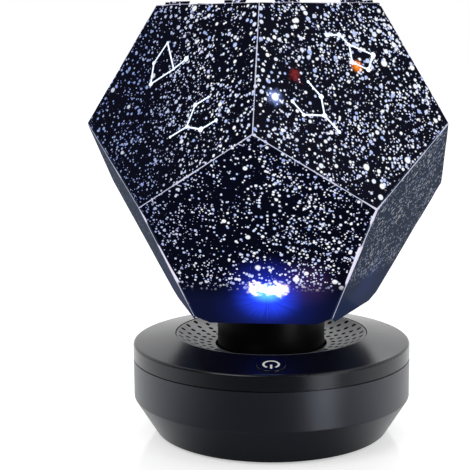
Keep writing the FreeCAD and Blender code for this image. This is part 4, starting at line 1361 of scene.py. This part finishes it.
@dataclass
class BoardParts:
    """Small ceramic chips soldered on the main board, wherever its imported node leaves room.

    Lengths are in millimetres.
    """

    body: str = "base"
    node: str = "main_board"
    tries: int = 160
    most: int = 34
    seed: int = 11
    spacing: float = 2.3
    board_thickness: float = 1.6
    level_slack: float = 0.05
    look_down: float = 50.0
    size_change: float = 0.12

    def free_places(self) -> list[Place]:
        """Finds seeded places where the board is bare around a chip.

        Returns:
            Points on the board's top face, each with the direction up.
        """
        low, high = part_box(self.node)
        level = low.z + self.board_thickness * MM
        trees = [BVHTree.FromPolygons(
            [v.co for v in frame["nodes"][name].data.vertices],
            [p.vertices for p in frame["nodes"][name].data.polygons],
        ) for name in (self.node, "charging_socket", "board_screws")]
        dice = random.Random(self.seed)
        found: list[Place] = []
        reach = 0.5 * self.spacing * MM
        for _ in range(self.tries):
            spot = Vector((dice.uniform(low.x, high.x), dice.uniform(low.y, high.y), level))
            ring = [spot + Vector((reach * i, reach * j, 0)) for i in (-1, 0, 1) for j in (-1, 0, 1)]
            hits = [[t.ray_cast(p + UP * self.look_down * MM, -UP)[0] for t in trees] for p in ring]
            bare = all(
                board and abs(board.z - level) < self.level_slack * MM and not socket and not screw
                for board, socket, screw in hits
            )
            apart = all((spot - other).length > self.spacing * MM for other, _ in found)
            if bare and apart and len(found) < self.most:
                found.append((spot, UP))
        return found

    def build(self) -> None:
        """Places the chips."""
        # The ceramic body, then its two ends.
        chip = mesh_object("chip", block_mesh("chip", [
            (Vector((0, 0, 0.25)), Vector((1.0, 0.74, 0.5))),
            (Vector((-0.6, 0, 0.26)), Vector((0.3, 0.8, 0.52))),
            (Vector((0.6, 0, 0.26)), Vector((0.3, 0.8, 0.52))),
        ]))
        places = self.free_places()
        if places:
            made = Repeater("board_chips", places, CERAMIC.material()).build(chip, self.size_change, self.seed)
            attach(made, self.body)
        LOG.info("%d chips on %s", len(places), self.node)


@dataclass
class Fasteners:
    """All the screws, each kind repeated where its node has one."""

    def kinds(self) -> list[ScrewKind]:
        """Lists the kinds of screw in the projector.

        Returns:
            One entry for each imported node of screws, with the body that it rides.
        """
        down = -UP
        press = Vector(next(j["axis"] for j in frame["joints"] if j["name"] == "button_press"))
        return [
            ScrewKind("housing_screws", "base", 1.25, 2.5, 1.8, down, 1.0),
            ScrewKind("post_screws", "base", 1.2, 2.0, 1.6, UP),
            ScrewKind("gear_screws", "turntable", 0.9, 1.6, 1.4, down),
            ScrewKind("clamp_screws", "turntable", 1.0, 1.9, 1.4, UP),
            ScrewKind("motor_screws", "base", 1.0, 1.9, 1.4, UP),
            ScrewKind("board_screws", "base", 0.9, 1.7, 1.2, UP),
            ScrewKind("button_screws", "base", 0.9, 1.6, 1.2, press.normalized()),
        ]

    def build(self) -> None:
        """Makes every kind."""
        for kind in self.kinds():
            made = kind.build(STEEL.material())
            LOG.info("%s stands for %s", made.name, kind.node)


@dataclass(frozen=True)
class StarFigure:
    """A made-up star figure: chains of stars, in millimetres from its own middle."""

    chains: tuple[tuple[tuple[float, float], ...], ...]

    def laid(self, place: Matrix) -> list[list[Vector]]:
        """Lays the chains on a panel.

        Args:
            place: From the figure's plane to the object, in millimetres.

        Returns:
            The chains' points, in metres.
        """
        return [[place @ Vector((x, y, 0)) * MM for x, y in chain] for chain in self.chains]


SAIL = StarFigure((
    ((-9, -7), (-7, 3), (1, 10), (4, -5), (-9, -7)),
    ((4, -5), (11, -3)),
))
LADLE = StarFigure((
    ((-12, 5), (-6, 7), (-1, 4), (1, -4), (9, -5), (11, 3), (-1, 4)),
))
FORK = StarFigure((
    ((0, -12), (1, -3), (-6, 4), (-5, 11)),
    ((1, -3), (7, 3), (8, 11)),
))


@dataclass
class StarBall:
    """The twelve panels of star film, with the thicker printed star figures on the upper ones."""

    body: str = "turntable"
    edge: float = 61.0
    turn: float = -4.8
    lamp_across: float = 2.5
    lamp_rise: float = 12.9
    line_width: float = 0.7
    print_height: float = 0.06
    # Half of a printed star's section, out and up.
    star_outline: tuple[tuple[float, float], ...] = (
        (0.0, -0.02), (0.95, -0.02), (0.95, 0.05), (0.8, 0.08), (0.0, 0.09),
    )
    star_size_change: float = 0.35
    seed: int = 7
    # Panel, figure, right and up from the panel's middle, and lean in degrees.
    figures: tuple[tuple[int, StarFigure, float, float, float], ...] = (
        (4, SAIL, -12.0, 14.0, 25.0),
        (4, FORK, 14.0, -12.0, -50.0),
        (0, LADLE, 8.0, 18.0, -20.0),
        (0, FORK, -16.0, -8.0, 40.0),
        (1, SAIL, 10.0, -6.0, 100.0),
        (1, LADLE, -12.0, 14.0, 60.0),
        (2, FORK, 0.0, 6.0, 15.0),
        (2, SAIL, 16.0, -14.0, -80.0),
        (3, LADLE, -10.0, -4.0, 150.0),
        (3, FORK, 14.0, 12.0, -120.0),
    )
    layers: tuple[StarLayer, ...] = (
        StarLayer(2.8, 1.14, 1.0, "#a3b8f6", 0.6, 0.22),
        StarLayer(2.1, 0.7, 1.0, "#c0d2ff", 1.0, 0.4),
        StarLayer(1.35, 0.46, 1.0, "#a4b4fc", 1.0, 0.85),
        StarLayer(9.0, 1.6, 1.0, "#e8f0ff", 0.9, 0.1),
    )
    # The lamp on the front panel, with middles right, up and out from the lamp's height there.
    lamp_spots: tuple[FilmSpot, ...] = (
        FilmSpot((2.5, -8.0, 0.0), (30.0, 60.0, 19.0), "#0f1d78", 0.7),
        FilmSpot((2.5, -3.5, 0.0), (19.0, 60.0, 14.0), "#2544ff", 1.0, 0.3),
        FilmSpot((2.5, 5.0, 0.0), (22.0, 60.0, 15.0), "#2230c0", 0.5),
        FilmSpot((19.0, 4.0, 0.0), (17.0, 60.0, 15.0), "#54387c", 0.3),
        FilmSpot((2.5, -0.8, 0.0), (10.0, 60.0, 6.0), "#5fd0ff", 1.0, 0.2),
        FilmSpot((-2.2, 1.6, 0.0), (5.0, 60.0, 4.2), "#fff3cc", 3.4, 0.0, 7.5),
        FilmSpot((7.6, 1.2, 0.0), (5.0, 60.0, 4.8), "#ffeccc", 3.4, 0.0, 7.5),
        FilmSpot((2.8, 1.0, 0.0), (5.6, 60.0, 3.2), "#d4fbff", 3.0, 0.0, 6.0),
    )
    # Its reflections higher up, with middles measured from the bottom panel's height.
    glints: tuple[FilmSpot, ...] = (
        FilmSpot((2.0, -70.1, 97.8), (5.2, 5.2, 5.2), "#9fb4ff", 0.8, 0.0, 5.0),
        FilmSpot((2.0, -70.1, 97.8), (2.2, 2.2, 2.2), "#ffffff", 2.5),
        FilmSpot((36.8, -42.4, 109.1), (4.0, 4.0, 4.0), "#e07818", 1.6, 0.0, 2.0),
        FilmSpot((10.2, -60.2, 106.2), (4.2, 4.2, 4.2), "#8c2a22", 0.9, 0.0, 9.0),
    )
    # The lamp on each of the other lower panels.
    side_glow: FilmSpot = FilmSpot((0.0, 0.0, 0.0), (24.0, 24.0, 20.0), "#16225c", 0.3)

    def shape(self) -> TwelveSides:
        """Gives the film's twelve sided body.

        Returns:
            The body, with its height read from the bottom panel.
        """
        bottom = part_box("film_panel_bottom")[0].z / MM
        flat = TwelveSides(self.edge, 0.0, self.turn)
        return TwelveSides(self.edge, bottom + flat.inradius, self.turn)

    def on_panel(self, spot: FilmSpot, shape: TwelveSides, index: int) -> FilmSpot:
        """Puts a spot on a lower panel.

        Args:
            spot: The spot, with its middle given on the panel.
            shape: The film's body.
            index: The panel's number, counted from the front one.

        Returns:
            The spot with its middle in the object's own frame.
        """
        across, rise, _ = spot.middle
        return replace(spot, middle=tuple(shape.lower_point(index, across, self.lamp_rise + rise)))

    def spots(self, shape: TwelveSides) -> tuple[FilmSpot, ...]:
        """Lists where the lamp and its reflections shine on the film.

        Args:
            shape: The film's body.

        Returns:
            The spots, weaker on the panels that don't face the front.
        """
        front = [self.on_panel(spot, shape, 0) for spot in self.lamp_spots]
        above = [
            replace(spot, middle=(*spot.middle[:2], shape.bottom_z + spot.middle[2]))
            for spot in self.glints
        ]
        sides = [self.on_panel(self.side_glow, shape, index) for index in range(1, 5)]
        return (*front, *above, *sides)

    def finish(self, shape: TwelveSides) -> StarFilm:
        """Gives the film's finish: black between bright dots, with a faint gloss.

        Args:
            shape: The film's body.

        Returns:
            The finish.
        """
        lamp = shape.lower_point(0, self.lamp_across, self.lamp_rise) - shape.centre
        return StarFilm(
            "printed_star_film", "#020206", 0.22,
            body=shape, layers=self.layers, spots=self.spots(shape), lamp_point=tuple(lamp),
        )

    def strokes(self, chains: Sequence[Sequence[Vector]], normals: Sequence[Vector]) -> Object:
        """Makes the printed lines between the stars of every figure.

        Args:
            chains: The points of each chain, in metres.
            normals: The direction that each chain's panel faces.

        Returns:
            The lines as one piece of thin raised bars.
        """
        made = bmesh.new()
        for chain, normal in zip(chains, normals):
            for start, end in zip(chain, chain[1:]):
                aside = (end - start).cross(normal).normalized() * 0.5 * self.line_width * MM
                bar = [start - aside, start + aside, end + aside, end - aside]
                pull(made, bar, normal * self.print_height * MM)
        return mesh_object("star_figure_lines", mesh_from(made, "star_figure_lines"))

    def print_figures(self, shape: TwelveSides) -> None:
        """Makes the star figures, lines and stars, in raised pale ink.

        Args:
            shape: The film's body.
        """
        chains: list[list[Vector]] = []
        normals: list[Vector] = []
        for index, figure, across, over, lean in self.figures:
            normal = shape.upper_normal(index)
            spin = Matrix.Translation((across, over, 0)) @ Matrix.Rotation(math.radians(lean), 4, "Z")
            laid = figure.laid(shape.panel_frame(normal) @ spin)
            chains += laid
            normals += [normal] * len(laid)
        lines = self.strokes(chains, normals)
        paint(lines, FIGURE_INK.material())
        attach(lines, self.body)
        stars = {tuple(point): (point, normal) for chain, normal in zip(chains, normals) for point in chain}
        disc = mesh_object("figure_star", turned_mesh("figure_star", self.star_outline, 20))
        dots = Repeater("star_figure_dots", list(stars.values()), FIGURE_INK.material())
        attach(dots.build(disc, self.star_size_change, self.seed), self.body)
        LOG.info("%d stars and %d chains printed", len(stars), len(chains))

    def build(self) -> None:
        """Dresses every panel and prints the figures."""
        shape = self.shape()
        finish = self.finish(shape)
        for node in frame["nodes"]:
            if node.startswith("film_panel"):
                dress(node, finish)
        self.print_figures(shape)


@dataclass
class Studio:
    """The plain floor, the soft light and the camera.

    The camera stands where the photograph was taken from, in millimetres and degrees. A gloss sees
    the surroundings darker toward the front, as beside a photographer's black flag, and sees the
    floor there painted a darker grey, as painted shade: the shades tell how dark, and the pairs
    between which headings the change lies.
    """

    camera_place: tuple[float, float, float] = (0.0, -579.5, 188.7)
    yaw: float = -1.647
    pitch: float = 9.377
    roll: float = -0.493
    lens: float = 96.24
    sensor: float = 36.0
    floor_half: float = 6.0
    floor_colour: str = "#f2f2f2"
    gloss_painted_floor_shade: str = "#808288"
    front_shade: float = 0.08
    front_sky: tuple[float, float] = (-0.35, 0.5)
    front_shadow: tuple[float, float] = (-0.98, -0.16)
    floor_lift: float = 0.45
    fill_light: float = 0.5
    # Name, place and side in metres, and power in watts.
    lamps: tuple[tuple[str, tuple[float, float, float], float, float], ...] = (
        ("key", (-0.7, -0.9, 1.1), 0.8, 7.0),
        ("fill", (1.0, -0.6, 0.8), 0.9, 3.5),
        ("back", (0.2, 1.0, 1.0), 0.8, 3.0),
        ("strip", (0.74, -0.86, 0.12), 0.42, 5.0),
    )

    def camera(self) -> None:
        """Makes the camera at the photograph's viewing angle."""
        yaw, pitch, roll = (math.radians(a) for a in (self.yaw, self.pitch, self.roll))
        ahead = Vector((
            math.sin(yaw) * math.cos(pitch),
            math.cos(yaw) * math.cos(pitch),
            -math.sin(pitch),
        ))
        level = Vector((math.cos(yaw), -math.sin(yaw), 0))
        over = level.cross(ahead)
        right = level * math.cos(roll) + over * math.sin(roll)
        above = over * math.cos(roll) - level * math.sin(roll)
        data = bpy.data.cameras.new("camera")
        data.lens = self.lens
        data.sensor_width = self.sensor
        data.clip_start = 0.01
        made = bpy.data.objects.new("camera", data)
        made.matrix_world = Matrix.Translation(Vector(self.camera_place) * MM) @ Matrix((
            (right.x, above.x, -ahead.x, 0),
            (right.y, above.y, -ahead.y, 0),
            (right.z, above.z, -ahead.z, 0),
            (0, 0, 0, 1),
        ))
        bpy.context.scene.collection.objects.link(made)
        bpy.context.scene.camera = made

    def sighted(
        self, tree: NodeTree, heading: NodeSocket, change: tuple[float, float], shade: float,
    ) -> tuple[Node, NodeSocket, NodeSocket]:
        """Tells how brightly each kind of ray sees the surroundings.

        Args:
            tree: The tree of the floor or of the world.
            heading: The direction from the object, as a unit vector.
            change: Between which values of Y a gloss goes from shaded to bright.
            shade: How brightly a gloss sees the front.

        Returns:
            The Light Path node, the share of a glossy ray, and the share of any ray.
        """
        path = add(tree, "ShaderNodeLightPath")
        back = add(tree, "ShaderNodeSeparateXYZ", {0: heading}).outputs[1]
        behind = add(tree, "ShaderNodeMapRange", {
            "Value": back,
            "From Min": change[0],
            "From Max": change[1],
            "To Min": shade,
            "To Max": 1.0,
        }, interpolation_type="SMOOTHSTEP").outputs[0]
        glossy = add(tree, "ShaderNodeMath", {
            0: path.outputs["Is Glossy Ray"],
            1: behind,
        }, operation="MULTIPLY").outputs[0]
        seen = add(tree, "ShaderNodeMath", {
            0: path.outputs["Is Camera Ray"],
            1: path.outputs["Is Transmission Ray"],
        }, operation="MAXIMUM").outputs[0]
        seen = add(tree, "ShaderNodeMath", {0: seen, 1: glossy}, operation="MAXIMUM").outputs[0]
        return path, glossy, seen

    def floor(self) -> None:
        """Makes the pale floor, which goes white for the camera away from the shadow.

        Glosses see it painted a darker grey in front, as painted shade.
        """
        half = self.floor_half
        mesh = bpy.data.meshes.new("floor")
        corners = [(-half, -half, 0), (half, -half, 0), (half, half, 0), (-half, half, 0)]
        mesh.from_pydata(corners, [], [(0, 1, 2, 3)])
        made = mesh_object("floor", mesh)
        material = bpy.data.materials.new("pale_floor")
        material.use_nodes = True
        tree = material.node_tree
        tree.nodes.clear()
        place = add(tree, "ShaderNodeTexCoord").outputs["Object"]
        heading = add(tree, "ShaderNodeVectorMath", {0: place}, operation="NORMALIZE").outputs[0]
        path, glossy, seen = self.sighted(tree, heading, self.front_shadow, 0.0)
        shaded = add(tree, "ShaderNodeMath", {
            0: path.outputs["Is Glossy Ray"],
            1: glossy,
        }, operation="SUBTRACT").outputs[0]
        # Painted shade: glossy rays see the floor in front in a darker grey.
        colour = add(tree, "ShaderNodeMix", {
            0: shaded,
            6: linear(self.floor_colour),
            7: linear(self.gloss_painted_floor_shade),
        }, data_type="RGBA").outputs[2]
        lift = add(tree, "ShaderNodeMath", {0: seen, 1: self.floor_lift}, operation="MULTIPLY").outputs[0]
        shader = add(tree, "ShaderNodeBsdfPrincipled", {
            "Base Color": colour,
            "Roughness": 0.12,
            "Specular IOR Level": 0.5,
            "Emission Color": (1, 1, 1, 1),
            "Emission Strength": lift,
        })
        add(tree, "ShaderNodeOutputMaterial", {"Surface": shader.outputs[0]})
        paint(made, material)

    def world(self) -> None:
        """Sets the white surroundings: full for what the eye or a gloss sees, plain for lighting."""
        world = bpy.data.worlds.new("studio")
        world.use_nodes = True
        tree = world.node_tree
        tree.nodes.clear()
        heading = add(tree, "ShaderNodeTexCoord").outputs["Generated"]
        path, _, seen = self.sighted(tree, heading, self.front_sky, self.front_shade)
        plain = add(tree, "ShaderNodeMath", {
            0: path.outputs["Is Diffuse Ray"],
            1: self.fill_light,
        }, operation="MULTIPLY").outputs[0]
        level = add(tree, "ShaderNodeMath", {0: seen, 1: plain}, operation="MAXIMUM").outputs[0]
        shade = add(tree, "ShaderNodeBackground", {"Color": (1, 1, 1, 1), "Strength": level})
        add(tree, "ShaderNodeOutputWorld", {"Surface": shade.outputs[0]})
        bpy.context.scene.world = world

    def lamp(self, name: str, place: tuple[float, float, float], size: float, power: float) -> None:
        """Makes one soft square lamp that looks at the object.

        Args:
            name: The lamp's name.
            place: Where it stands, in metres.
            size: Its side, in metres.
            power: Its power in watts.
        """
        data = bpy.data.lights.new(name, "AREA")
        data.size = size
        data.energy = power
        made = bpy.data.objects.new(name, data)
        made.location = place
        made.rotation_euler = (Vector((0, 0, 0.1)) - Vector(place)).to_track_quat("-Z", "Y").to_euler()
        made.visible_camera = False
        bpy.context.scene.collection.objects.link(made)

    def build(self) -> None:
        """Makes the camera, the floor, the surroundings and the lamps."""
        bpy.context.scene.view_settings.view_transform = "Standard"
        self.camera()
        self.floor()
        self.world()
        for lamp in self.lamps:
            self.lamp(*lamp)


PARTS = (
    StarBall(), DriveTrain(), BaseUnit(), PowerButton(), SocketContacts(), BoardParts(), Fasteners(), Studio(),
)


def main() -> None:
    """Builds and dresses every sub-assembly, then the studio."""
    logging.basicConfig(level=logging.INFO)
    for part in PARTS:
        part.build()
        LOG.info("%s is done", type(part).__name__)


if __name__ == "__main__":
    main()
